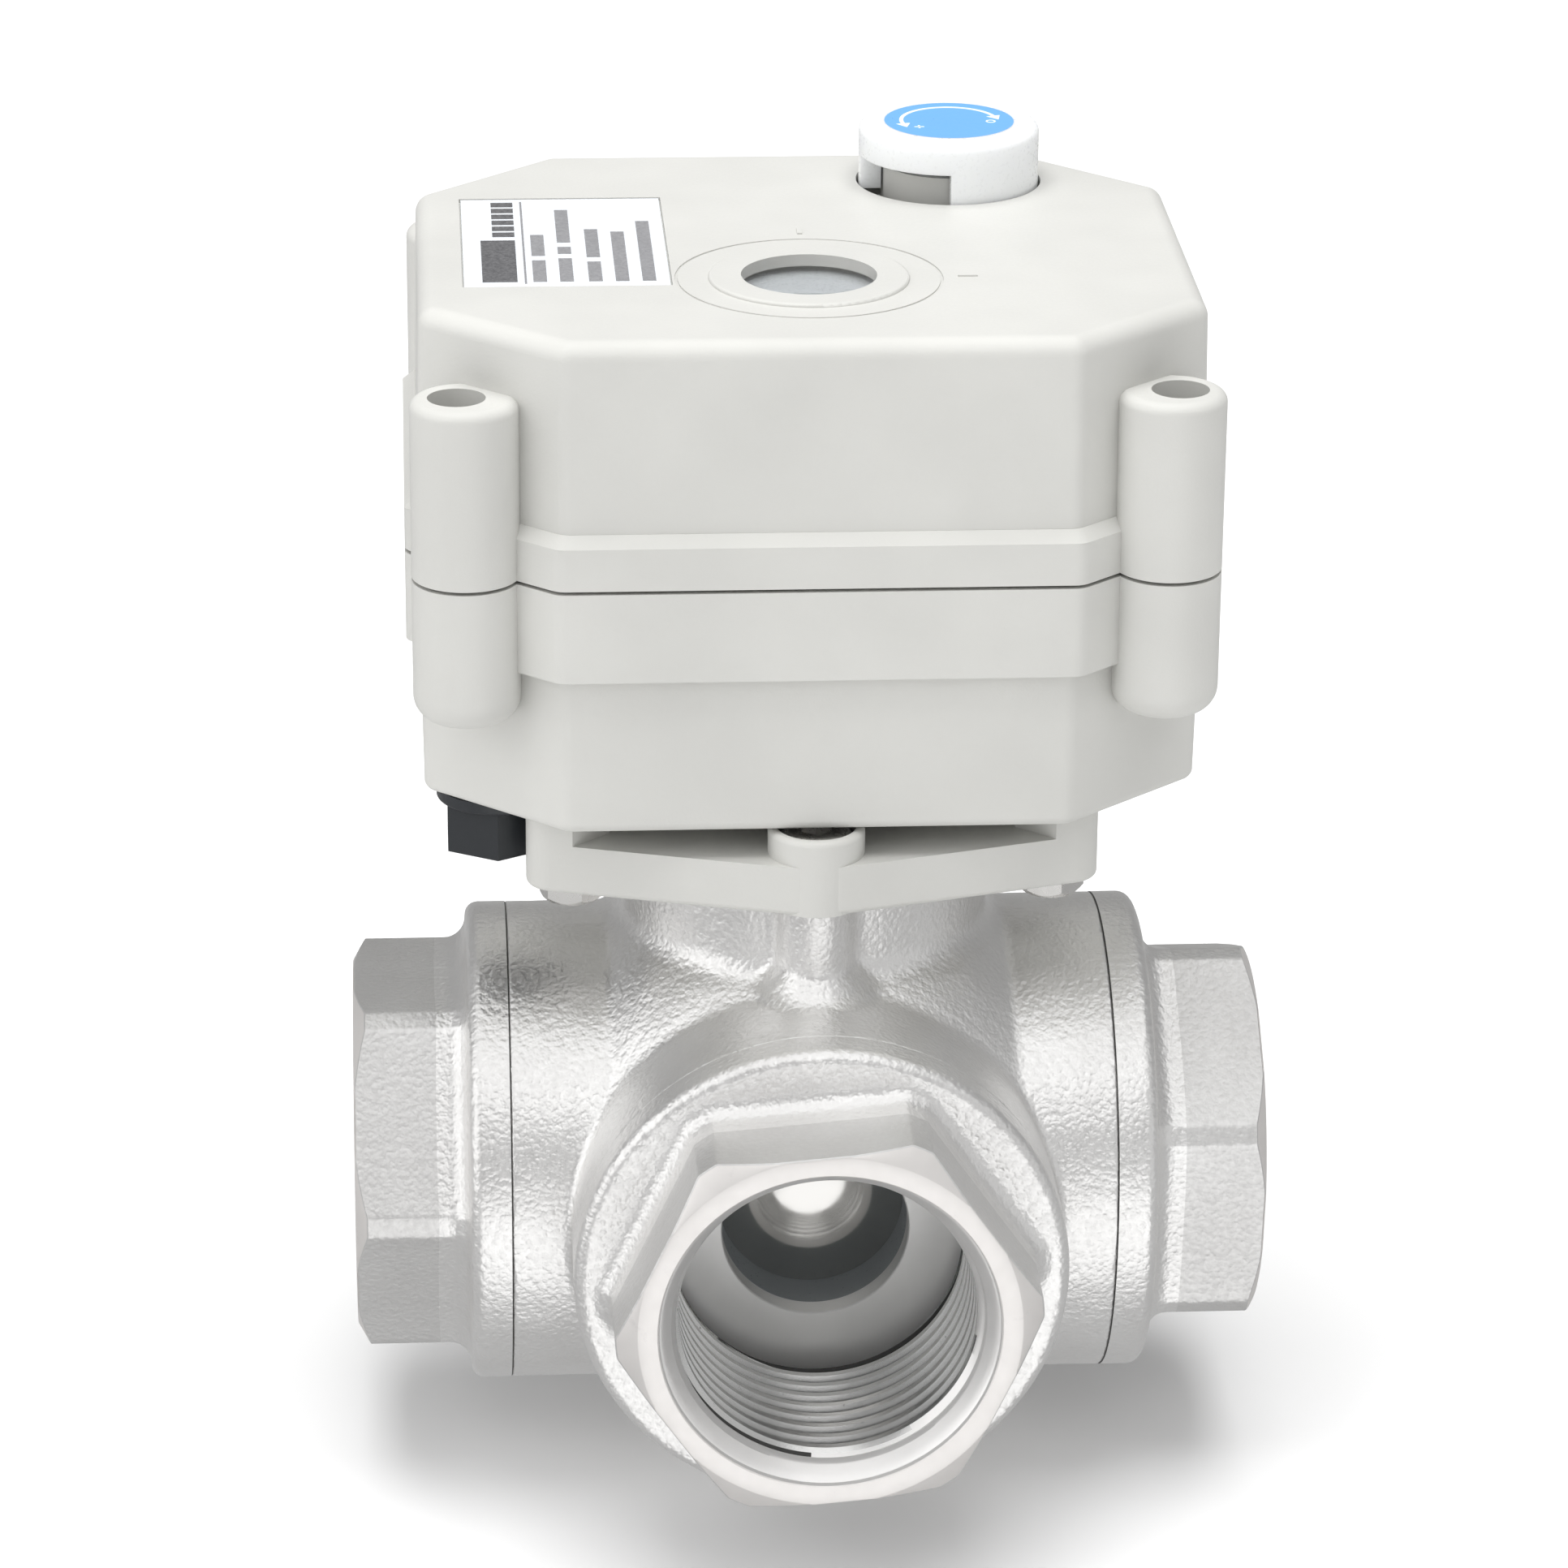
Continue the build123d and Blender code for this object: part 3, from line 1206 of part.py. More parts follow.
def build_nodes():
    """Every piece under the name of its node."""
    three_ports = ("right", "left", "front")
    nodes = {
        "valve_body": valve_body(),
        "cap_gaskets": on_ports(cap_gasket(), three_ports),
        "ball_seats": on_ports(ball_seat(), (*three_ports, "back")),
        "valve_ball": valve_ball(),
        "valve_stem": valve_stem(),
        "thrust_washer": tube(SHOULDER_R, STEM_R + RUNNING, SHOULDER_TOP, WASHER_TOP),
        "stem_packing": stem_packing(),
        "packing_nut": packing_nut(),
        "bracket": bracket(),
        "bracket_bolts": at_each(bracket_bolt_places(), bracket_bolt),
        "bracket_screws": at_each(bracket_screw_places(), bracket_screw),
        "lower_casing": lower_casing(),
        "top_cover": top_cover(),
        "casing_gasket": casing_gasket(),
        "cover_screws": at_each(corner_places(BOSS_HOLE_X), cover_screw),
        "window_lens": window_lens(),
        "label_plate": label_plate(),
        "gland_body": gland_body(),
        "gland_seal": gland_seal(),
        "gland_nut": gland_nut(),
        "lower_gear_plate": lower_gear_plate(),
        "upper_gear_plate": upper_gear_plate(),
        "spacer_pillars": at_each(PILLARS, spacer_pillar),
        "pillar_screws": at_each(PILLARS, pillar_screw),
        "gear_axles": at_each((FINAL, SECOND, FIRST), gear_axle),
        "output_gear": output_gear(),
        "final_gear": final_gear(),
        "second_gear": second_gear(),
        "first_gear": first_gear(),
        "manual_gear": manual_gear(),
        "output_shaft": output_shaft(),
        "cross_pin": cross_pin(),
        "shaft_bushes": shaft_bushes(),
        "shaft_seal": shaft_seal(),
        "cam_open": cam("open", True),
        "cam_closed": cam("closed", False),
        "position_dial": position_dial(),
        "switch_open": limit_switch("open"),
        "switch_closed": limit_switch("closed"),
        "plunger_open": switch_plunger("open", CAM_LOW_R),
        "plunger_closed": switch_plunger("closed", CAM_HIGH_R),
        "motor_can": motor_can(),
        "motor_magnets": motor_magnets(),
        "motor_rotor": motor_rotor(),
        "motor_pinion": motor_pinion(),
        "motor_end_cap": motor_end_cap(),
        "motor_screws": at_each(motor_screw_places(), motor_screw),
        "control_board": control_board(),
        "capacitor": capacitor(),
        "terminal_block": terminal_block(),
        "override_knob": override_knob(),
        "knob_sticker": knob_sticker(),
        "knob_shaft": knob_shaft(),
        "knob_clip": knob_clip(),
        "knob_seal": knob_seal(),
        "spring_washer": spring_washer(),
        "knob_spring": knob_spring(),
    }
    for port in three_ports:
        nodes["end_cap_" + port] = end_cap(port)
    return nodes


os.makedirs("parts", exist_ok=True)
for name, shape in build_nodes().items():
    export_step(shape, "parts/" + name + ".step")
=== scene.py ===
import math

import bmesh
import bpy
import numpy as np
from mathutils import Matrix, Vector, noise


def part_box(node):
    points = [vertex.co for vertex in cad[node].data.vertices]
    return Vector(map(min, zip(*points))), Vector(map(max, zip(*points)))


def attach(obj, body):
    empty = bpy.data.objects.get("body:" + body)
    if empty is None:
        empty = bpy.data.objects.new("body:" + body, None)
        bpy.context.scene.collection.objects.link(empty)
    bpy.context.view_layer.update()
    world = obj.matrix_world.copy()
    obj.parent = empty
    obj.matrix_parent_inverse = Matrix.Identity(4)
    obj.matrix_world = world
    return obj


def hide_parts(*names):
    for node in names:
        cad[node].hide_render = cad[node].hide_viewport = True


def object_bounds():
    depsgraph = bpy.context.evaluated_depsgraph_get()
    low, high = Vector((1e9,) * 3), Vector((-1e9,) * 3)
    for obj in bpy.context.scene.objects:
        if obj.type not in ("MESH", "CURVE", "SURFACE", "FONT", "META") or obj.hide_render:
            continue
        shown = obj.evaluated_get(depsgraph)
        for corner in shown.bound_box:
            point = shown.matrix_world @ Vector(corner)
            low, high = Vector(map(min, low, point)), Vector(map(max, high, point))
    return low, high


MM = 0.001

# Port and cap dimensions in millimetres, the same as in the CAD source
PORT_FACE = 38.3
CAP_SPLIT = 25.2
COLLAR_R = 20.4
COLLAR_END = 28.7
COLLAR_ROUND = 1.1
HEX_APOTHEM = 15.5
HEX_CORNER_R = 17.4
HEX_FACE_R = 15.6
HEX_CHAMFER_HIGH = 1.0
SPIGOT_R, SPIGOT_END = 17.4, 18.3
NOSE_R, NOSE_END = 15.2, 15.3
SEAT_R, SEAT_BACK = 11.6, 17.0
PORT_R = 7.8
BORE_FLOOR = 19.0
RELIEF_R = 13.6
MOUTH_R = 13.9
CAP_HEX_ANGLE = {"right": -22, "left": 0, "front": 5}
PORT_TURN = {"right": 0, "left": 180, "front": -90}

# Rounding and chamfers that only the visual caps have
SEAM_CHAMFER = 0.1
HEX_EDGE = 0.12
ROOT_ROUND = 1.8

# The thread, a plain bore in the CAD: its ends, its profile, and how it fades at both ends
THREAD_END, THREAD_TOP = 20.8, 36.6
THREAD_PITCH = 1.814
THREAD_ROOT_R, THREAD_CREST_R = 13.2, 12.15
THREAD_PHASES = (0, 0.18, 0.36, 0.50, 0.64, 0.70, 0.76, 0.87)
THREAD_CUTS = (0, 0, 0, 0.5, 1, 1, 1, 0.45)
FADE_TOP, FADE_END = 2.2, 0.5
CONE_START, CONE_SLOPE = 35.0, 0.42
LEAD_START = 35.3  # above this the thread has the finish of the lead

# Columns of points on each flat and on each rounded corner of a cap
FLAT_COLUMNS, CORNER_COLUMNS = 68, 9

# Finishes of a cap's bands; the root band is painted shade, a near-black finish in the thread's
# roots, the relief groove and the seam chamfer
CAP_BAND, FLAT_BAND, FACE_BAND, LEAD_BAND, THREAD_BAND, ROOT_SHADE_BAND, FLOOR_BAND = range(7)

# Cast body
DOME_R = 26.5
NECK_R = 15.4
NECK_ROOT = 12.0
NECK_TOP = 28.3
COLUMN_R, COLUMN_FOOT_R = 3.1, 4.7
COLUMN_Y = 15.4
COLUMN_FOOT = (20.5, 22.6)
SPARE = 1.8  # how far the cast shapes run past the planes that trim them
CREASE, BARREL_FILLET, NECK_FILLET = 0.45, 0.8, 1.2
SHELL_CUTS = 150  # squares along each side of the six grids that cover the body
SHELL_REACH = (12.0, 45.0)  # distances from the middle between which the outside lies
SHELL_HALVINGS = 30
UNEVENNESS = 0.05
SKIN = 0.3  # CAD faces less than this below the outside belong to the outside

# Ticks beside the window, and printing
CASE_TOP = 76.9
MARK_START = 12.2
MARK_LONG = 1.6
MARK_WIDE = 0.4
MARK_HIGH = 0.15
PRINT_HIGH = 0.02

# A colour Mix node's two inputs and its result, by number
MIX_FIRST, MIX_SECOND, MIX_RESULT = 6, 7, 2

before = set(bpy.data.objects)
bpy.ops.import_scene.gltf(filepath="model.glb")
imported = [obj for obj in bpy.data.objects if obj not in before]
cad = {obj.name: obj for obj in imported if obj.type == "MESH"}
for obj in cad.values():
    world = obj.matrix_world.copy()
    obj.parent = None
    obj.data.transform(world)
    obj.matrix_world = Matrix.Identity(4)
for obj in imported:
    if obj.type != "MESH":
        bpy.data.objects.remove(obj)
cad_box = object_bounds()


# ---------------------------------------------------------------- materials


class Nodes:
    """Adds nodes to a tree, with their inputs linked or set."""

    def __init__(self, tree):
        self.tree = tree

    def add(self, kind, inputs, **settings):
        """A node with its inputs linked or set, and its settings."""
        node = self.tree.nodes.new("ShaderNode" + kind)
        for key, value in settings.items():
            setattr(node, key, value)
        for key, value in inputs.items():
            if isinstance(value, bpy.types.NodeSocket):
                self.tree.links.new(value, node.inputs[key])
            else:
                node.inputs[key].default_value = value
        return node

    def mapped(self, value, low, high, to_low=0.0, to_high=1.0, smooth=False):
        """A value moved from one range to another, and clamped."""
        inputs = {
            "Value": value,
            "From Min": low,
            "From Max": high,
            "To Min": to_low,
            "To Max": to_high,
        }
        kind = "SMOOTHSTEP" if smooth else "LINEAR"
        return self.add("MapRange", inputs, interpolation_type=kind).outputs["Result"]

    def total(self, a, b):
        """The sum of two values."""
        return self.add("Math", {0: a, 1: b}, operation="ADD").outputs["Value"]


class Finish(Nodes):
    """A Principled material whose texture comes from object coordinates."""

    def __init__(self, name, colour, roughness, metallic=0.0, **sockets):
        self.material = bpy.data.materials.new(name)
        self.material.use_nodes = True
        super().__init__(self.material.node_tree)
        self.shader = self.tree.nodes["Principled BSDF"]
        self.shader.inputs["Base Color"].default_value = (*colour, 1)
        self.shader.inputs["Roughness"].default_value = roughness
        self.shader.inputs["Metallic"].default_value = metallic
        for socket, value in sockets.items():
            self.shader.inputs[socket.replace("_", " ")].default_value = value
        self.place = self.tree.nodes.new("ShaderNodeTexCoord").outputs["Object"]
        self.material.diffuse_color = (*colour, 1)

    def noise(self, size, detail=2.0, roughness=0.5):
        """Noise whose features are about that many millimetres across."""
        inputs = {
            "Vector": self.place,
            "Scale": 1 / (size * MM),
            "Detail": detail,
            "Roughness": roughness,
        }
        return self.add("TexNoise", inputs).outputs["Fac"]

    def cells(self, size):
        """The distance to scattered points that are about that many millimetres apart."""
        inputs = {"Vector": self.place, "Scale": 1 / (size * MM)}
        return self.add("TexVoronoi", inputs).outputs["Distance"]

    def blend(self, factor, first, second):
        """Makes the base colour a mix of two inputs, by a factor from 0 to 1."""
        inputs = {0: factor, MIX_FIRST: first, MIX_SECOND: second}
        mix = self.add("Mix", inputs, data_type="RGBA")
        self.tree.links.new(mix.outputs[MIX_RESULT], self.shader.inputs["Base Color"])

    def tint(self, factor, first, second):
        """Base colour that goes from one colour to another with a factor."""
        self.blend(factor, (*first, 1), (*second, 1))

    def spots(self, factor, colour):
        """A second colour laid over the tinted base colour where the factor is high."""
        below = self.shader.inputs["Base Color"].links[0].from_socket
        self.blend(factor, below, (*colour, 1))

    def dull(self, factor, low, high):
        """Roughness between two values, by a factor from 0 to 1."""
        value = self.mapped(factor, 0, 1, low, high)
        self.tree.links.new(value, self.shader.inputs["Roughness"])

    def bump(self, height, depth):
        """Relief of that many millimetres, on top of any relief before it."""
        target = self.shader.inputs["Normal"]
        inputs = {"Height": height, "Distance": depth * MM, "Strength": 1.0}
        if target.links:
            inputs["Normal"] = target.links[0].from_socket
        node = self.add("Bump", inputs)
        self.tree.links.new(node.outputs["Normal"], target)


CAST_TONES = ((0.82, 0.812, 0.802), (0.90, 0.895, 0.885))


def cast_stainless(name, grain, depth, roughness, tone=1.0):
    """Blasted investment-cast stainless steel: finely pebbled, with satin unevenness."""
    steel = Finish(name, (0.86 * tone, 0.855 * tone, 0.845 * tone), roughness, metallic=0.9)
    clouds = steel.noise(11, detail=2)
    pebbles = steel.noise(grain, detail=1, roughness=0.4)
    dents = steel.cells(grain * 1.7)
    dark, light = [[c * tone for c in side] for side in CAST_TONES]
    steel.tint(steel.mapped(clouds, 0.35, 0.7), dark, light)
    steel.dull(steel.mapped(pebbles, 0.3, 0.7), roughness - 0.06, roughness + 0.06)
    steel.bump(pebbles, depth)
    steel.bump(dents, depth * 0.25)
    return steel


def turned_stainless(name, colour, roughness, metallic=1.0, grain=0.16):
    """Lathe-turned stainless steel with a fine uneven gloss."""
    steel = Finish(name, colour, roughness, metallic=metallic)
    waves = steel.noise(grain * 6, detail=3)
    steel.dull(waves, roughness - 0.05, roughness + 0.09)
    steel.tint(steel.noise(3.5, detail=3), [0.9 * c for c in colour], colour)
    steel.bump(steel.noise(grain, detail=2), 0.004)
    return steel


def port_face_steel():
    """The turned face of a port: bright satin with faint scuffs."""
    steel = turned_stainless("port_face", (0.90, 0.875, 0.855), 0.45, metallic=0.8)
    scuffs = steel.noise(2.2, detail=5, roughness=0.7)
    steel.spots(steel.mapped(scuffs, 0.62, 0.72, 0, 0.35), (0.72, 0.70, 0.69))
    return steel


def thread_steel():
    """Cut thread: bright, with small tears and a little oil."""
    steel = turned_stainless("thread_crest", (0.72, 0.72, 0.71), 0.2, metallic=0.9)
    tears = steel.noise(0.7, detail=4, roughness=0.7)
    steel.spots(steel.mapped(tears, 0.66, 0.74, 0, 0.7), (0.12, 0.12, 0.12))
    return steel


def lead_steel():
    """The smooth lead of a port, bright from the tool."""
    return turned_stainless("port_lead", (0.88, 0.87, 0.86), 0.3, metallic=0.55, grain=0.3)


def root_shade_steel():
    """Painted shade: near-black steel laid in the thread's roots, the relief groove and the cap
    seam, where shade falls.
    """
    steel = Finish("thread_root_painted_shade", (0.06, 0.06, 0.058), 0.5, metallic=0.6)
    steel.bump(steel.noise(0.3, detail=3), 0.01)
    return steel


def bore_floor_steel():
    """The faced floor of a bore, satin, with a few specks."""
    steel = turned_stainless("bore_floor", (0.98, 0.975, 0.96), 0.35, metallic=0.4)
    specks = steel.cells(4.5)
    steel.spots(steel.mapped(specks, 0.025, 0.045, 1, 0), (0.07, 0.065, 0.06))
    return steel


def moulded(name, colour, roughness=0.45, grain=0.3, depth=0.008, mottle=0.03):
    """Moulded plastic with a fine spark-eroded texture."""
    plastic = Finish(name, colour, roughness)
    texture = plastic.noise(grain, detail=2)
    flow = plastic.noise(14, detail=2)
    dark = [c * (1 - mottle) for c in colour]
    light = [min(1, c * (1 + mottle)) for c in colour]
    plastic.tint(plastic.mapped(flow, 0.35, 0.65), dark, light)
    plastic.dull(plastic.mapped(texture, 0.3, 0.7), roughness - 0.05, roughness + 0.06)
    plastic.bump(texture, depth)
    return plastic


def casing_abs(name="casing_abs"):
    """The light warm-grey ABS of the casing and its bracket."""
    plastic = moulded(name, (0.605, 0.603, 0.577), roughness=0.42, grain=0.28, depth=0.014)
    specks = plastic.noise(0.5, detail=4, roughness=0.8)
    plastic.spots(plastic.mapped(specks, 0.72, 0.8, 0, 0.25), (0.42, 0.40, 0.37))
    return plastic


def knob_plastic():
    """Milky translucent plastic."""
    plastic = moulded("knob_milk", (0.90, 0.92, 0.94), roughness=0.3, depth=0.004, mottle=0.01)
    plastic.shader.inputs["Subsurface Weight"].default_value = 0.5
    plastic.shader.inputs["Subsurface Radius"].default_value = (1.0, 1.0, 1.1)
    plastic.shader.inputs["Subsurface Scale"].default_value = 2.5 * MM
    return plastic


def machined(name, colour, roughness, depth=0.003):
    """Machined metal with fine tool marks and slight tarnish."""
    metal = Finish(name, colour, roughness, metallic=1.0)
    marks = metal.noise(0.7, detail=2)
    tarnish = metal.noise(3.5, detail=2)
    dark = [c * 0.88 for c in colour]
    metal.tint(metal.mapped(tarnish, 0.35, 0.7), dark, colour)
    metal.dull(marks, roughness - 0.06, roughness + 0.1)
    metal.bump(marks, depth)
    return metal


def ball_steel():
    """Mirror-polished steel with the faintest haze."""
    steel = Finish("ball_mirror", (0.74, 0.73, 0.71), 0.1, metallic=1.0)
    haze = steel.noise(1.6, detail=4)
    steel.dull(haze, 0.05, 0.2)
    steel.bump(haze, 0.004)
    return steel


def rubber(name, colour, roughness=0.65):
    """Moulded rubber, dull and slightly uneven."""
    piece = Finish(name, colour, roughness)
    grain = piece.noise(0.35, detail=3)
    piece.dull(grain, roughness - 0.1, roughness + 0.1)
    piece.bump(grain, 0.01)
    return piece


def board():
    """Green solder mask with a hint of copper tracks below it."""
    mask = Finish("solder_mask", (0.05, 0.26, 0.12), 0.35, Coat_Weight=0.4)
    weave = mask.add("TexWave", {"Vector": mask.place, "Scale": 320.0, "Distortion": 2.0})
    tracks = mask.mapped(weave.outputs["Fac"], 0.72, 0.8)
    mask.tint(tracks, (0.03, 0.20, 0.09), (0.07, 0.33, 0.15))
    mask.bump(tracks, 0.02)
    return mask


def clear_lens():
    """Clear moulded plastic."""
    lens = Finish("window_clear", (0.97, 0.98, 0.98), 0.04, Transmission_Weight=1.0, IOR=1.46)
    lens.bump(lens.noise(3, detail=2), 0.004)
    return lens


def vinyl(name, colour, roughness=0.3):
    """Printed film: nearly flat, with a slight unevenness of the gloss."""
    film = Finish(name, colour, roughness)
    grain = film.noise(0.8, detail=3)
    film.tint(grain, [c * 0.96 for c in colour], colour)
    film.dull(grain, roughness - 0.06, roughness + 0.08)
    film.bump(grain, 0.0012)
    return film


def ferrite():
    """Sintered magnet, dark and grainy."""
    grey = Finish("sintered_ferrite", (0.05, 0.05, 0.055), 0.55, metallic=0.3)
    grain = grey.noise(0.25, detail=4)
    grey.tint(grain, (0.035, 0.035, 0.04), (0.075, 0.075, 0.08))
    grey.bump(grain, 0.015)
    return grey


def ink(name, colour):
    """Printing ink with slightly worn coverage."""
    film = Finish(name, colour, 0.45)
    grain = film.noise(0.25, detail=4, roughness=0.7)
    film.tint(film.mapped(grain, 0.35, 0.75), colour, [c + 0.12 for c in colour])
    return film


CAST = cast_stainless("cast_blasted", 0.42, 0.09, 0.37)
CAST_FLAT = cast_stainless("cast_flats", 0.42, 0.07, 0.46, tone=0.88)
FACE_STEEL = port_face_steel()
THREAD = thread_steel()
ROOT_SHADE = root_shade_steel()
LEAD = lead_steel()
FLOOR_STEEL = bore_floor_steel()

SLOT_FINISH = {
    "cast_steel": CAST,
    "casing_plastic": casing_abs(),
    "bracket_plastic": casing_abs("bracket_abs"),
    "fastener_steel": machined("fastener_bright", (0.80, 0.79, 0.77), 0.26, depth=0.0012),
    "polished_steel": ball_steel(),
    "seat_ptfe": moulded("filled_ptfe", (0.39, 0.42, 0.44), roughness=0.32, depth=0.004),
    "gasket_rubber": rubber("seal_rubber", (0.035, 0.033, 0.03)),
    "black_nylon": moulded("gland_nylon", (0.022, 0.025, 0.029), roughness=0.38, depth=0.01),
    "knob_plastic": knob_plastic(),
    "sticker_blue": vinyl("sticker_film", (0.15, 0.42, 0.86)),
    "label_foil": vinyl("label_film", (0.80, 0.83, 0.87), roughness=0.26),
    "lens_clear": clear_lens(),
    "acetal_white": moulded("dial_acetal", (0.78, 0.81, 0.84), roughness=0.3, depth=0.004),
    "red_acetal": moulded("cam_acetal", (0.62, 0.06, 0.05), roughness=0.35, depth=0.006),
    "steel_gear": machined("gear_steel", (0.55, 0.54, 0.53), 0.3),
    "brass_gear": machined("gear_brass", (0.78, 0.58, 0.28), 0.28),
    "plate_steel": machined("zinc_plate", (0.62, 0.63, 0.64), 0.34, depth=0.008),
    "motor_steel": machined("motor_plating", (0.66, 0.66, 0.67), 0.26),
    "rotor_steel": machined("rotor_laminate", (0.36, 0.36, 0.37), 0.4, depth=0.02),
    "magnet_ferrite": ferrite(),
    "board_green": board(),
    "capacitor_sleeve": vinyl("shrink_sleeve", (0.06, 0.07, 0.14), roughness=0.28),
}


def dress_cad():
    """Gives every CAD node the finish of its material slot."""
    for node in cad.values():
        for slot in node.material_slots:
            name = slot.material.name.split(".")[0]
            slot.material = SLOT_FINISH[name].material


# ---------------------------------------------------------------- mesh helpers


def add_piece(name, mesh, finishes, body, stands_for=(), sharp=32):
    """Makes an object from a mesh, shades it smooth except at sharp edges, and mounts it."""
    piece = bpy.data.objects.new(name, mesh)
    bpy.context.collection.objects.link(piece)
    for finish in finishes:
        mesh.materials.append(finish.material)
    mesh.shade_smooth()
    mesh.set_sharp_from_angle(angle=math.radians(sharp))
    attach(piece, body)
    if stands_for:
        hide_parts(*stands_for)


def mesh_from_bmesh(name, bm):
    """Closes a bmesh's normals outwards and turns it into a mesh."""
    bmesh.ops.recalc_face_normals(bm, faces=bm.faces[:])
    mesh = bpy.data.meshes.new(name)
    bm.to_mesh(mesh)
    bm.free()
    return mesh


def smooth_step(x):
    """0 below 0, 1 above 1, and a smooth rise between."""
    t = np.clip(x, 0, 1)
    return t * t * (3 - 2 * t)


# ---------------------------------------------------------------- end caps


def cap_columns():
    """Angles round a cap from a flat's middle, with a column at each side of every corner."""
    corner = math.degrees(math.acos(HEX_APOTHEM / HEX_CORNER_R))
    flat = np.linspace(-corner + 0.3, corner - 0.3, FLAT_COLUMNS)
    arc = np.linspace(corner + 0.3, 60 - corner - 0.3, CORNER_COLUMNS)
    sector = np.concatenate([flat, arc])
    return np.radians(np.concatenate([sector + 60 * k for k in range(6)]))


def hexagon_radius(angles):
    """The radius of the hexagon with its corners cut round."""
    off = (angles + math.pi / 6) % (math.pi / 3) - math.pi / 6
    return np.minimum(HEX_APOTHEM / np.cos(off), HEX_CORNER_R)


def outer_rows(angles):
    """Rows from the spigot up to the outer edge of the port's face: (height, radius, band)."""
    hexagon = hexagon_radius(angles)
    chamfer = np.maximum((hexagon - HEX_FACE_R) / (HEX_CORNER_R - HEX_FACE_R), 0.12)
    chamfer_z = PORT_FACE - HEX_CHAMFER_HIGH * chamfer
    face_r = np.minimum(hexagon - HEX_EDGE, HEX_FACE_R)
    rows = [(SPIGOT_END, SPIGOT_R, CAP_BAND), (CAP_SPLIT, SPIGOT_R, CAP_BAND)]
    # The seam chamfer gets the painted shade finish, a dark line between cap and body.
    rows.append((CAP_SPLIT, COLLAR_R - SEAM_CHAMFER, ROOT_SHADE_BAND))
    rows.append((CAP_SPLIT + SEAM_CHAMFER, COLLAR_R, CAP_BAND))
    rows.append((COLLAR_END - COLLAR_ROUND, COLLAR_R, CAP_BAND))
    for turn in np.radians(np.linspace(15, 90, 6)):
        height = COLLAR_END - COLLAR_ROUND * (1 - math.sin(turn))
        rows.append((height, COLLAR_R - COLLAR_ROUND * (1 - math.cos(turn)), CAP_BAND))
    for turn in np.radians(np.linspace(0, 90, 9)):
        height = COLLAR_END + ROOT_ROUND * (1 - math.cos(turn))
        rows.append((height, hexagon + ROOT_ROUND * (1 - math.sin(turn)), CAP_BAND))
    root_end = COLLAR_END + ROOT_ROUND
    for part in np.linspace(0.12, 0.97, 7):
        rows.append((root_end + (chamfer_z - root_end) * part, hexagon, FLAT_BAND))
    rows.append((chamfer_z - HEX_EDGE * 0.5, hexagon, FLAT_BAND))
    rows.append((chamfer_z + HEX_EDGE * 0.3, hexagon - HEX_EDGE, FACE_BAND))
    rows.append((PORT_FACE - HEX_EDGE * 0.4, face_r + HEX_EDGE * 0.4, FACE_BAND))
    rows.append((PORT_FACE, face_r - HEX_EDGE * 0.6, FACE_BAND))
    return rows


def crest_radius(height):
    """The radius at the thread's crests, which opens out in a cone at the mouth."""
    lead = THREAD_CREST_R + CONE_SLOPE * np.maximum(height - CONE_START, 0)
    return np.minimum(lead, THREAD_ROOT_R + 0.1)


def thread_rows(angles):
    """Rows that follow the thread's helix, clamped at both ends of the thread."""
    turns = math.ceil((THREAD_TOP - THREAD_END) / THREAD_PITCH) + 1
    rows = []
    for turn in range(turns):
        for phase, cut in zip(THREAD_PHASES, THREAD_CUTS):
            climb = (angles - angles[0]) / (2 * math.pi) - turn - phase
            height = np.clip(THREAD_TOP + THREAD_PITCH * climb, THREAD_END, THREAD_TOP)
            crest = crest_radius(height)
            fade = smooth_step((THREAD_TOP - height) / FADE_TOP)
            fade = fade * smooth_step((height - THREAD_END) / FADE_END)
            # Rows cut fully to the root get the painted shade finish.
            band = ROOT_SHADE_BAND if cut == 1 else THREAD_BAND
            rows.append((height, crest + (THREAD_ROOT_R - crest) * cut * fade, band))
    return rows


def inner_rows(angles):
    """Rows of the mouth, the thread, and the rest of the bore back to the nose."""
    mouth = [
        (PORT_FACE, MOUTH_R + 0.75, FACE_BAND),
        (PORT_FACE, MOUTH_R + 0.1, FACE_BAND),
        (PORT_FACE - 0.08, MOUTH_R, LEAD_BAND),
        (PORT_FACE - 0.45, MOUTH_R - 0.1, LEAD_BAND),
        (PORT_FACE - 0.6, MOUTH_R - 0.3, LEAD_BAND),
        (PORT_FACE - 1.15, THREAD_ROOT_R + 0.15, LEAD_BAND),
    ]
    rest = [
        # From the thread's end to the floor's edge the relief groove gets the painted shade
        # finish.
        (THREAD_END, THREAD_CREST_R + 0.1, ROOT_SHADE_BAND),
        (THREAD_END, RELIEF_R, ROOT_SHADE_BAND),
        (BORE_FLOOR + 0.25, RELIEF_R, ROOT_SHADE_BAND),
        (BORE_FLOOR, RELIEF_R - 0.25, ROOT_SHADE_BAND),
        (BORE_FLOOR, RELIEF_R - 0.5, FLOOR_BAND),
        (BORE_FLOOR, 11.5, FLOOR_BAND),
        (BORE_FLOOR, PORT_R + 0.1, FLOOR_BAND),
        (BORE_FLOOR - 0.1, PORT_R, FLOOR_BAND),
        (SEAT_BACK, PORT_R, FLOOR_BAND),
        (SEAT_BACK, SEAT_R, FLOOR_BAND),
        (NOSE_END, SEAT_R, FLOOR_BAND),
        (NOSE_END, NOSE_R, FLOOR_BAND),
        (SPIGOT_END, NOSE_R, FLOOR_BAND),
    ]
    return mouth, thread_rows(angles), rest


CAP_FINISHES = (CAST, CAST_FLAT, FACE_STEEL, LEAD, THREAD, ROOT_SHADE, FLOOR_STEEL)


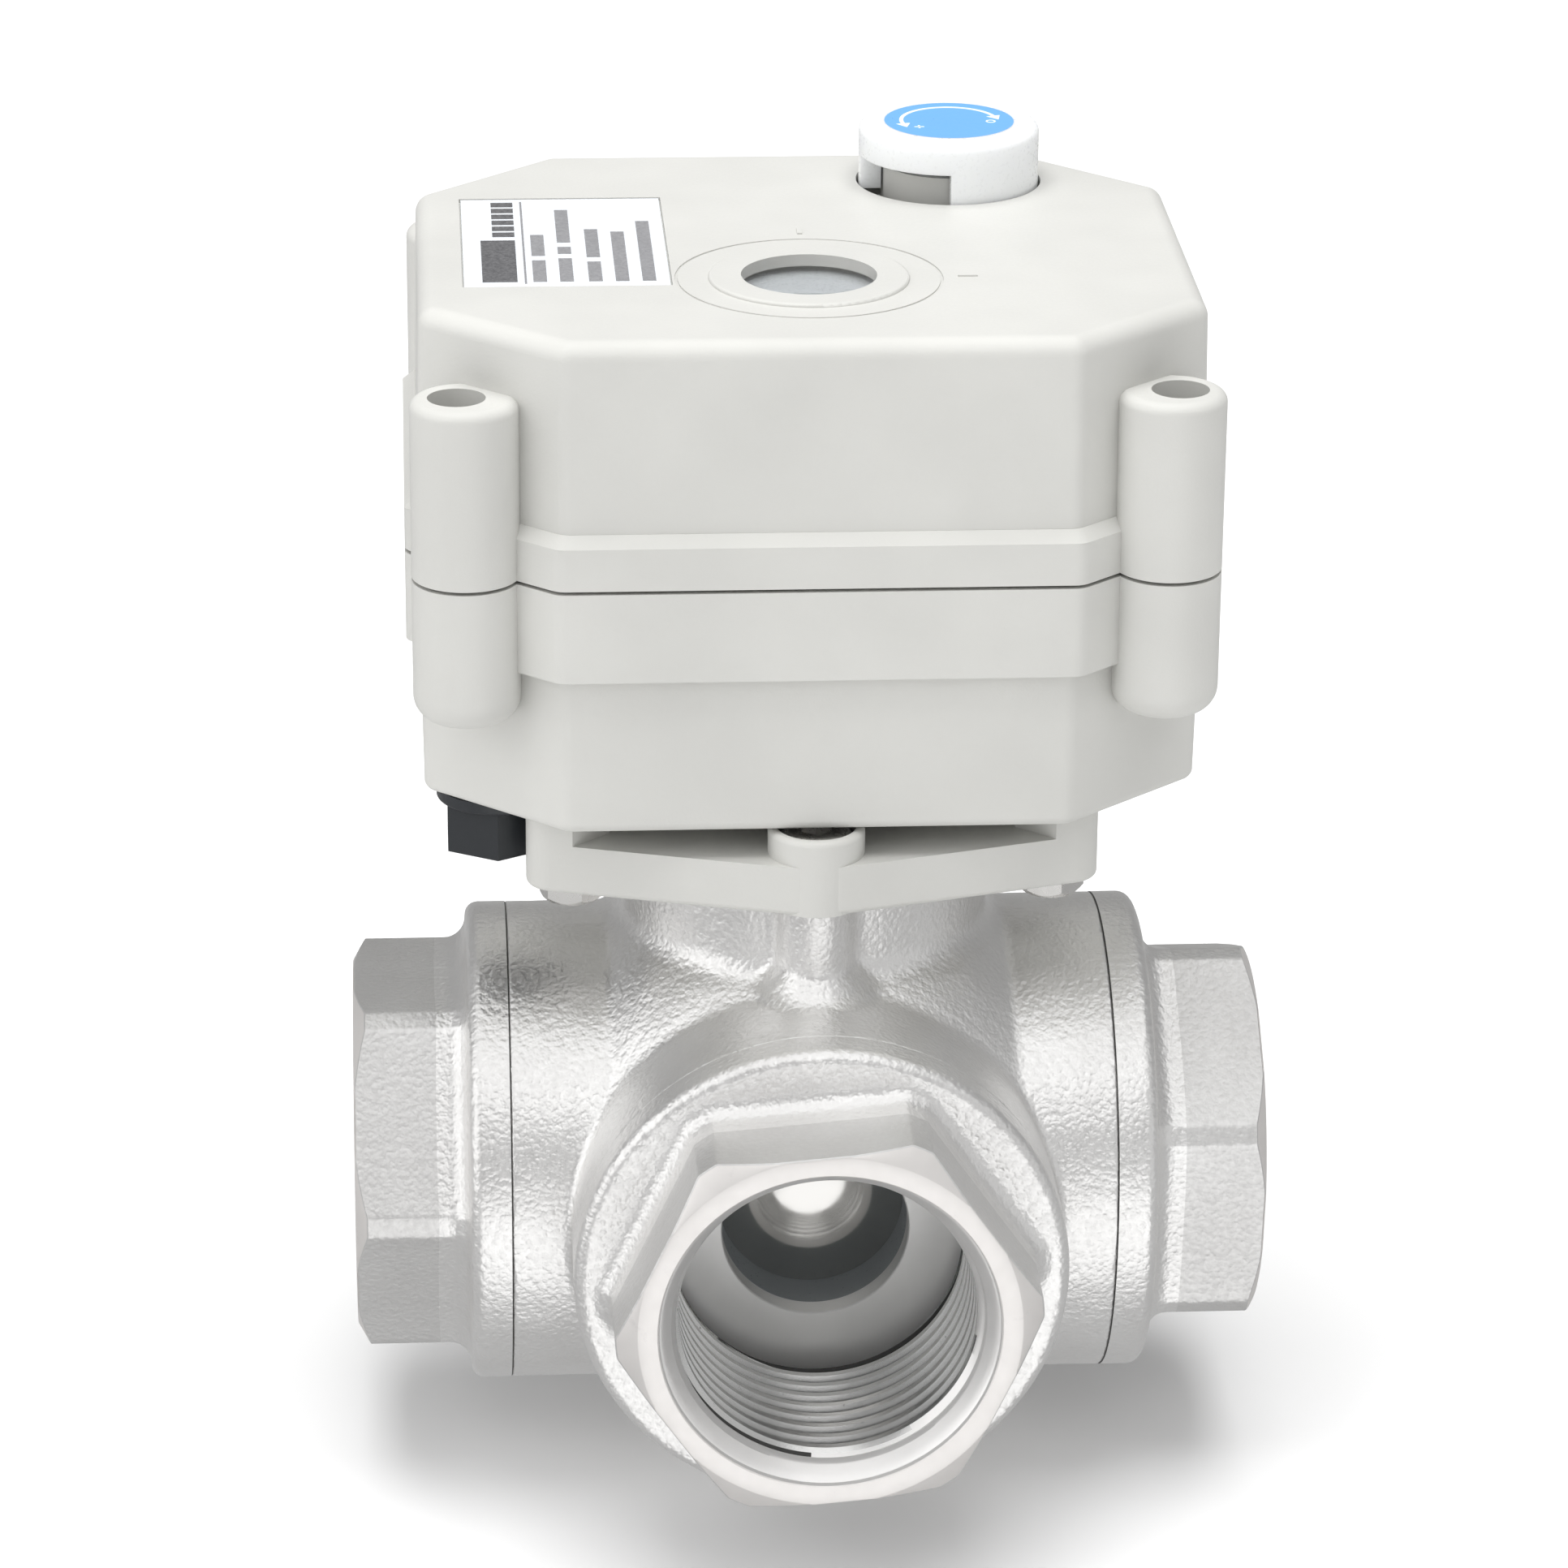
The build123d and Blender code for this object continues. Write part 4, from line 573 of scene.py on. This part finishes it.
def end_cap(port):
    """A threaded cap as one ring of rows round its axis, with a real helical thread."""
    angles = cap_columns()
    outer = outer_rows(angles)
    mouth, thread, rest = inner_rows(angles)
    rows = outer + mouth + thread + rest
    first = len(outer) + len(mouth)
    last = first + len(thread) - 1
    turned = angles + math.radians(CAP_HEX_ANGLE[port])
    ring = np.stack([np.cos(turned), np.sin(turned)])
    points = np.empty((len(rows), len(angles), 3))
    for k, (height, radius, _) in enumerate(rows):
        points[k, :, 0], points[k, :, 1] = ring * radius
        points[k, :, 2] = height
    bm = bmesh.new()
    verts = [[bm.verts.new(point * MM) for point in row] for row in points]

    def beyond_seam(row):
        """The row that continues this one in the first column, a turn of the thread back."""
        return max(row - len(THREAD_PHASES), first) if first <= row <= last else row

    count = len(angles)
    for k, (_, _, band) in enumerate(rows):
        following = (k + 1) % len(rows)
        for c in range(count):
            a, b = verts[k][c], verts[following][c]
            if c + 1 < count:
                d, e = verts[following][c + 1], verts[k][c + 1]
            else:
                d, e = verts[beyond_seam(following)][0], verts[beyond_seam(k)][0]
            corners = list(dict.fromkeys([a, b, d, e]))
            in_lead = first <= k <= last and points[k, c, 2] > LEAD_START
            if len(corners) > 2:
                bm.faces.new(corners).material_index = LEAD_BAND if in_lead else band
    bmesh.ops.remove_doubles(bm, verts=bm.verts[:], dist=0.0015 * MM)
    bmesh.ops.dissolve_degenerate(bm, dist=0.001 * MM, edges=bm.edges[:])
    mesh = mesh_from_bmesh("cap_" + port, bm)
    turn = Matrix.Rotation(math.radians(PORT_TURN[port]), 4, "Z")
    mesh.transform(turn @ Matrix.Rotation(math.pi / 2, 4, "Y"))
    add_piece("cap_" + port, mesh, CAP_FINISHES, "housing", ["end_cap_" + port])


# ---------------------------------------------------------------- cast body


def soft_union(a, b, width):
    """Joins two distance fields with a fillet about that wide."""
    blend = np.clip(0.5 + 0.5 * (b - a) / width, 0, 1)
    return b * (1 - blend) + a * blend - width * blend * (1 - blend)


def body_field(p, spare, fillet=True):
    """The distance from the cast body's outside, with its planes moved out by spare."""
    x, y, z = p.T
    soft = soft_union if fillet else lambda a, b, width: np.minimum(a, b)
    dome = np.linalg.norm(p, axis=1) - DOME_R
    run = np.maximum(np.hypot(y, z) - COLLAR_R, np.abs(x) - CAP_SPLIT - spare)
    branch = np.maximum(np.hypot(x, z) - COLLAR_R, np.maximum(-y - CAP_SPLIT - spare, y))
    neck = np.maximum(np.hypot(x, y) - NECK_R, np.maximum(z - NECK_TOP - spare, NECK_ROOT - z))
    flare = np.clip((COLUMN_FOOT[1] - z) / (COLUMN_FOOT[1] - COLUMN_FOOT[0]), 0, 1)
    column_r = COLUMN_R + (COLUMN_FOOT_R - COLUMN_R) * flare
    column = np.hypot(x, np.abs(y) - COLUMN_Y) - column_r
    column = np.maximum(column, np.maximum(z - NECK_TOP - spare, NECK_ROOT - z))
    field = soft(dome, soft(run, branch, BARREL_FILLET), CREASE)
    field = soft(field, neck, NECK_FILLET)
    return soft(field, column, NECK_FILLET)


def sphere_grid(cuts):
    """Directions over a sphere as six square grids, and their quads."""
    t = np.tan(np.linspace(-math.pi / 4, math.pi / 4, cuts + 1))
    u, v = (side.ravel() for side in np.meshgrid(t, t, indexing="ij"))
    index = np.arange((cuts + 1) ** 2).reshape(cuts + 1, cuts + 1)
    quads = np.stack([index[:-1, :-1], index[1:, :-1], index[1:, 1:], index[:-1, 1:]], axis=-1)
    points, faces = [], []
    for axis in range(3):
        for side in (-1, 1):
            faces.append(quads.reshape(-1, 4) + len(points) * len(u))
            grid = np.empty((len(u), 3))
            grid[:, axis] = side
            grid[:, (axis + 1) % 3] = u
            grid[:, (axis + 2) % 3] = v
            points.append(grid / np.linalg.norm(grid, axis=1, keepdims=True))
    return np.concatenate(points), np.concatenate(faces)


def body_shell():
    """The cast outside: each direction's point on the filleted field, slightly uneven."""
    directions, faces = sphere_grid(SHELL_CUTS)
    low, high = (np.full(len(directions), reach) for reach in SHELL_REACH)
    for _ in range(SHELL_HALVINGS):
        middle = (low + high) / 2
        inside = body_field(directions * middle[:, None], SPARE) < 0
        low, high = np.where(inside, middle, low), np.where(inside, high, middle)
    points = directions * low[:, None]
    uneven = [noise.noise(Vector(p) * 0.35) + 0.4 * noise.noise(Vector(p) * 1.1) for p in points]
    points -= directions * UNEVENNESS * (1 + np.array(uneven))[:, None]
    bm = bmesh.new()
    verts = [bm.verts.new(p * MM) for p in points]
    for quad in faces:
        bm.faces.new([verts[k] for k in quad])
    bmesh.ops.remove_doubles(bm, verts=bm.verts[:], dist=0.01 * MM)
    return bm


def trim(bm, axis, at):
    """Cuts the shell off square at a plane across an axis, with a small chamfer at the rim."""
    way = Vector(axis)
    for back, clear in ((SEAM_CHAMFER, False), (0, True)):
        everything = bm.verts[:] + bm.edges[:] + bm.faces[:]
        plane = way * (at - back) * MM
        bmesh.ops.bisect_plane(
            bm, geom=everything, plane_co=plane, plane_no=way, clear_outer=clear
        )
    for vert in bm.verts:
        if abs(vert.co.dot(way) - at * MM) < 1e-7:
            spoke = vert.co - way * vert.co.dot(way)
            vert.co -= spoke.normalized() * SEAM_CHAMFER * MM


def add_inside(bm):
    """Adds the CAD body's bores and chamber, which the shell leaves open."""
    inside = bmesh.new()
    inside.from_mesh(cad["valve_body"].data)
    bmesh.ops.remove_doubles(inside, verts=inside.verts[:], dist=0.001 * MM)
    centres = np.array([face.calc_center_median() for face in inside.faces]) / MM
    hard = body_field(centres, 0, fillet=False)
    outside = [face for face, d in zip(inside.faces, hard) if d > -SKIN]
    bmesh.ops.delete(inside, geom=outside, context="FACES")
    bores = bpy.data.meshes.new("body_inside")
    inside.to_mesh(bores)
    inside.free()
    bm.from_mesh(bores)
    bpy.data.meshes.remove(bores)
    for face in bm.faces:
        face.material_index = 0


def close_plane(bm, axis, at):
    """Fills the flat ring between the shell's rim and the bore in a trimming plane."""
    way = Vector(axis)
    rim = [
        edge
        for edge in bm.edges
        if edge.is_boundary and all(abs(v.co.dot(way) - at * MM) < 2e-6 for v in edge.verts)
    ]
    bmesh.ops.triangle_fill(bm, edges=rim, normal=way)


def drop_scraps(bm):
    """Removes what is left of the CAD's outside, loose pieces with open edges."""
    waiting = [face for edge in bm.edges if edge.is_boundary for face in edge.link_faces]
    scraps = set()
    while waiting:
        face = waiting.pop()
        if face not in scraps:
            scraps.add(face)
            waiting += [other for edge in face.edges for other in edge.link_faces]
    bmesh.ops.delete(bm, geom=list(scraps), context="FACES")


def valve_body():
    """The cast body: filleted outside, trimmed at its planes, with the CAD's inside."""
    planes = (
        ((1, 0, 0), CAP_SPLIT),
        ((-1, 0, 0), CAP_SPLIT),
        ((0, -1, 0), CAP_SPLIT),
        ((0, 0, 1), NECK_TOP),
    )
    bm = body_shell()
    for axis, at in planes:
        trim(bm, axis, at)
    add_inside(bm)
    for axis, at in planes:
        close_plane(bm, axis, at)
    drop_scraps(bm)
    mesh = mesh_from_bmesh("body_casting", bm)
    add_piece("body_casting", mesh, [CAST], "housing", ["valve_body"], sharp=50)


# ---------------------------------------------------------------- prints and marks


def flat_print(name, outlines, base, height, finish, body):
    """Thin raised print: each outline, a list of (x, y) in millimetres, standing on base."""
    bm = bmesh.new()
    for outline in outlines:
        low = [bm.verts.new((x * MM, y * MM, base * MM)) for x, y in outline]
        high = [bm.verts.new((x * MM, y * MM, (base + height) * MM)) for x, y in outline]
        bm.faces.new(high)
        bm.faces.new(low[::-1])
        for k in range(len(outline)):
            following = (k + 1) % len(outline)
            bm.faces.new((low[k], low[following], high[following], high[k]))
    add_piece(name, mesh_from_bmesh(name, bm), [finish], body)


def bar(x0, x1, y0, y1):
    """A rectangle's corners."""
    return [(x0, y0), (x1, y0), (x1, y1), (x0, y1)]


def arc_band(centre, radius, width, start, end, steps=48):
    """The outline of a band along an arc, in degrees."""
    turns = np.radians(np.linspace(start, end, steps))
    outer, inner = radius + width / 2, radius - width / 2
    far = [(centre[0] + outer * math.cos(t), centre[1] + outer * math.sin(t)) for t in turns]
    near = [(centre[0] + inner * math.cos(t), centre[1] + inner * math.sin(t)) for t in turns]
    return far + near[::-1]


def arrow_head(centre, radius, at, way, length, half):
    """A triangle at the end of an arc that points along it; way is 1 or -1."""
    turn = math.radians(at)
    out = Vector((math.cos(turn), math.sin(turn)))
    along = Vector((-out.y, out.x)) * way
    foot = Vector(centre) + out * radius
    return [tuple(foot + out * half), tuple(foot - out * half), tuple(foot + along * length)]


def node_box(node):
    """A CAD node's lowest and highest corners in millimetres."""
    low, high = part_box(node)
    return np.array(low) / MM, np.array(high) / MM


def label_print():
    """Grey bars in place of lettering: a heavy heading, a rule and five rows of words."""
    low, high = node_box("label_plate")
    wide, deep = high[0] - low[0], high[1] - low[1]
    top = high[2]

    def across(part):
        return low[0] + wide * part

    def along(part):
        return low[1] + deep * part

    heading = [bar(across(0.09), across(0.26), along(0.05), along(0.52))]
    for k in range(6):
        start = 0.56 + 0.07 * k
        heading.append(bar(across(0.15), across(0.26), along(start), along(start + 0.052)))
    rule = [bar(across(0.295), across(0.305), along(0.03), along(0.97))]
    rows = (
        (0.37, (0.24, 0.24)),
        (0.50, (0.26, 0.08, 0.38)),
        (0.64, (0.22, 0.32)),
        (0.77, (0.56,)),
        (0.90, (0.68,)),
    )
    words = []
    for middle, lengths in rows:
        start = 0.05
        for length in lengths:
            edges = across(middle - 0.033), across(middle + 0.033)
            words.append(bar(*edges, along(start), along(start + length)))
            start += length + 0.05
    dark, grey = ink("label_ink", (0.07, 0.07, 0.075)), ink("label_ink_grey", (0.22, 0.22, 0.23))
    flat_print("label_heading", heading, top, PRINT_HIGH, dark, "housing")
    flat_print("label_rows", rule + words, top, PRINT_HIGH, grey, "housing")


def sticker_print():
    """A plain double-ended arrow round the sticker, a small cross and a small ring."""
    low, high = node_box("knob_sticker")
    centre = ((low[0] + high[0]) / 2, (low[1] + high[1]) / 2)
    radius = (high[0] - low[0]) / 2
    track = radius * 0.74
    white = ink("sticker_ink", (0.84, 0.88, 0.88))
    cross_x, cross_y = centre[0] - 0.49 * radius, centre[1] - 0.35 * radius
    ring = (centre[0] + 0.64 * radius, centre[1] - 0.08 * radius)
    shapes = [
        arc_band(centre, track, 0.34, 18, 192),
        arrow_head(centre, track, 18, -1, 1.2, 0.62),
        arrow_head(centre, track, 192, 1, 1.2, 0.62),
        bar(cross_x - 0.42, cross_x + 0.42, cross_y - 0.09, cross_y + 0.09),
        bar(cross_x - 0.09, cross_x + 0.09, cross_y - 0.42, cross_y + 0.42),
        arc_band(ring, 0.36, 0.16, 0, 350, steps=20),
    ]
    flat_print("sticker_arrow", shapes, high[2], PRINT_HIGH, white, "knob")


def end_marks():
    """Two tiny raised ticks on the cover, where the pointer's travel ends."""
    low, high = node_box("window_lens")
    centre = ((low[0] + high[0]) / 2, (low[1] + high[1]) / 2)
    near, far, half = MARK_START, MARK_START + MARK_LONG, MARK_WIDE / 2
    behind = bar(centre[0] - half, centre[0] + half, centre[1] + near, centre[1] + far)
    beside = bar(centre[0] + near, centre[0] + far, centre[1] - half, centre[1] + half)
    plastic = SLOT_FINISH["casing_plastic"]
    marks = [behind, beside]
    flat_print("end_marks", marks, CASE_TOP, MARK_HIGH, plastic, "housing")


dress_cad()
for port in PORT_TURN:
    end_cap(port)
valve_body()
label_print()
sticker_print()
end_marks()


# ---------------------------------------------------------------- camera, floor and light

CAMERA_TURNS = (21.792, 3.642, 0.463)  # down, aside and roll, in degrees
CAMERA_DISTANCE, CAMERA_RIGHT, CAMERA_UP = 535.1073, 1.46676, -30.05124  # millimetres
SENSOR, LENS = 36, 142.3944

FLOOR_HALF = 4.0
AIM = (0, 0, 0.03)

# Name, place, size in metres and radiance
LIGHTS = (
    ("top", (0.0, 0.0, 1.1), 0.9, 4.2),
    ("key", (-0.8, -0.6, 0.6), 0.6, 1.0),
)

# The surround's strength below and above the horizon, and half the height of its change
BELOW, ABOVE = 0.46, 0.32
HORIZON = 0.15

# Direction, half-angles of the full and the faded area in degrees, and the light it adds
STUDIO_AREAS = (
    ((-0.85, -0.34, 0.32), 16, 40, 1.0),
    ((0.0, -0.3, 0.95), 20, 48, 0.75),
    ((0.05, -0.8, 0.6), 9, 18, 0.7),
    ((0.8, -0.5, 0.3), 12, 36, 0.3),
    ((0.1, -0.88, -0.45), 20, 38, 0.85),
)


def add_camera():
    """A camera before the part and above it, turned a little aside."""
    down, aside, roll = (math.radians(turn) for turn in CAMERA_TURNS)
    ahead = Vector(
        (math.sin(aside) * math.cos(down), math.cos(aside) * math.cos(down), -math.sin(down))
    )
    level = Vector((math.cos(aside), -math.sin(aside), 0))
    above = level.cross(ahead)
    right = level * math.cos(roll) + above * math.sin(roll)
    up = above * math.cos(roll) - level * math.sin(roll)
    place = -ahead * CAMERA_DISTANCE - right * CAMERA_RIGHT - up * CAMERA_UP
    data = bpy.data.cameras.new("camera")
    data.sensor_width = SENSOR
    data.lens = LENS
    data.clip_end = 20
    camera = bpy.data.objects.new("camera", data)
    turn = Matrix((right, up, -ahead)).transposed()
    camera.matrix_world = Matrix.Translation(place * MM) @ turn.to_4x4()
    bpy.context.collection.objects.link(camera)
    bpy.context.scene.camera = camera


def add_floor():
    """A wide pale floor under the lowest point."""
    material = Finish("studio_floor", (0.93, 0.93, 0.93), 0.9)
    material.tint(material.noise(600, detail=1), (0.92, 0.92, 0.92), (0.94, 0.94, 0.94))
    half = FLOOR_HALF
    low = cad_box[0][2]
    mesh = bpy.data.meshes.new("floor")
    corners = [(-half, -half, low), (half, -half, low), (half, half, low), (-half, half, low)]
    mesh.from_pydata(corners, [], [(0, 1, 2, 3)])
    floor = bpy.data.objects.new("floor", mesh)
    mesh.materials.append(material.material)
    bpy.context.collection.objects.link(floor)
    floor.visible_glossy = False


def add_light(name, place, size, radiance):
    """A soft square light that faces the part and isn't mirrored in its metal."""
    data = bpy.data.lights.new(name, "AREA")
    data.shape = "SQUARE"
    data.size = size
    data.energy = radiance * math.pi * size**2
    light = bpy.data.objects.new(name, data)
    light.location = place
    light.rotation_euler = (Vector(AIM) - Vector(place)).to_track_quat("-Z", "Y").to_euler()
    light.visible_glossy = False
    bpy.context.collection.objects.link(light)


def add_world():
    """A soft studio all round: a pale surround with a few large, soft bright areas."""
    world = bpy.data.worlds.new("studio")
    world.use_nodes = True
    bpy.context.scene.world = world
    nodes = Nodes(world.node_tree)
    direction = nodes.add("TexCoord", {}).outputs["Generated"]
    height = nodes.add("SeparateXYZ", {"Vector": direction}).outputs["Z"]
    light = nodes.mapped(height, -HORIZON, HORIZON, BELOW, ABOVE)
    for way, inner, outer, extra in STUDIO_AREAS:
        aim = Vector(way).normalized()
        facing = nodes.add("VectorMath", {0: direction, 1: aim}, operation="DOT_PRODUCT")
        edges = math.cos(math.radians(outer)), math.cos(math.radians(inner))
        glow = nodes.mapped(facing.outputs["Value"], *edges, 0, extra, smooth=True)
        light = nodes.total(light, glow)
    background = world.node_tree.nodes["Background"]
    world.node_tree.links.new(light, background.inputs["Strength"])
    background.inputs["Color"].default_value = (1, 1, 1, 1)


add_camera()
add_floor()
add_world()
for light in LIGHTS:
    add_light(*light)
bpy.context.scene.view_settings.view_transform = "Standard"
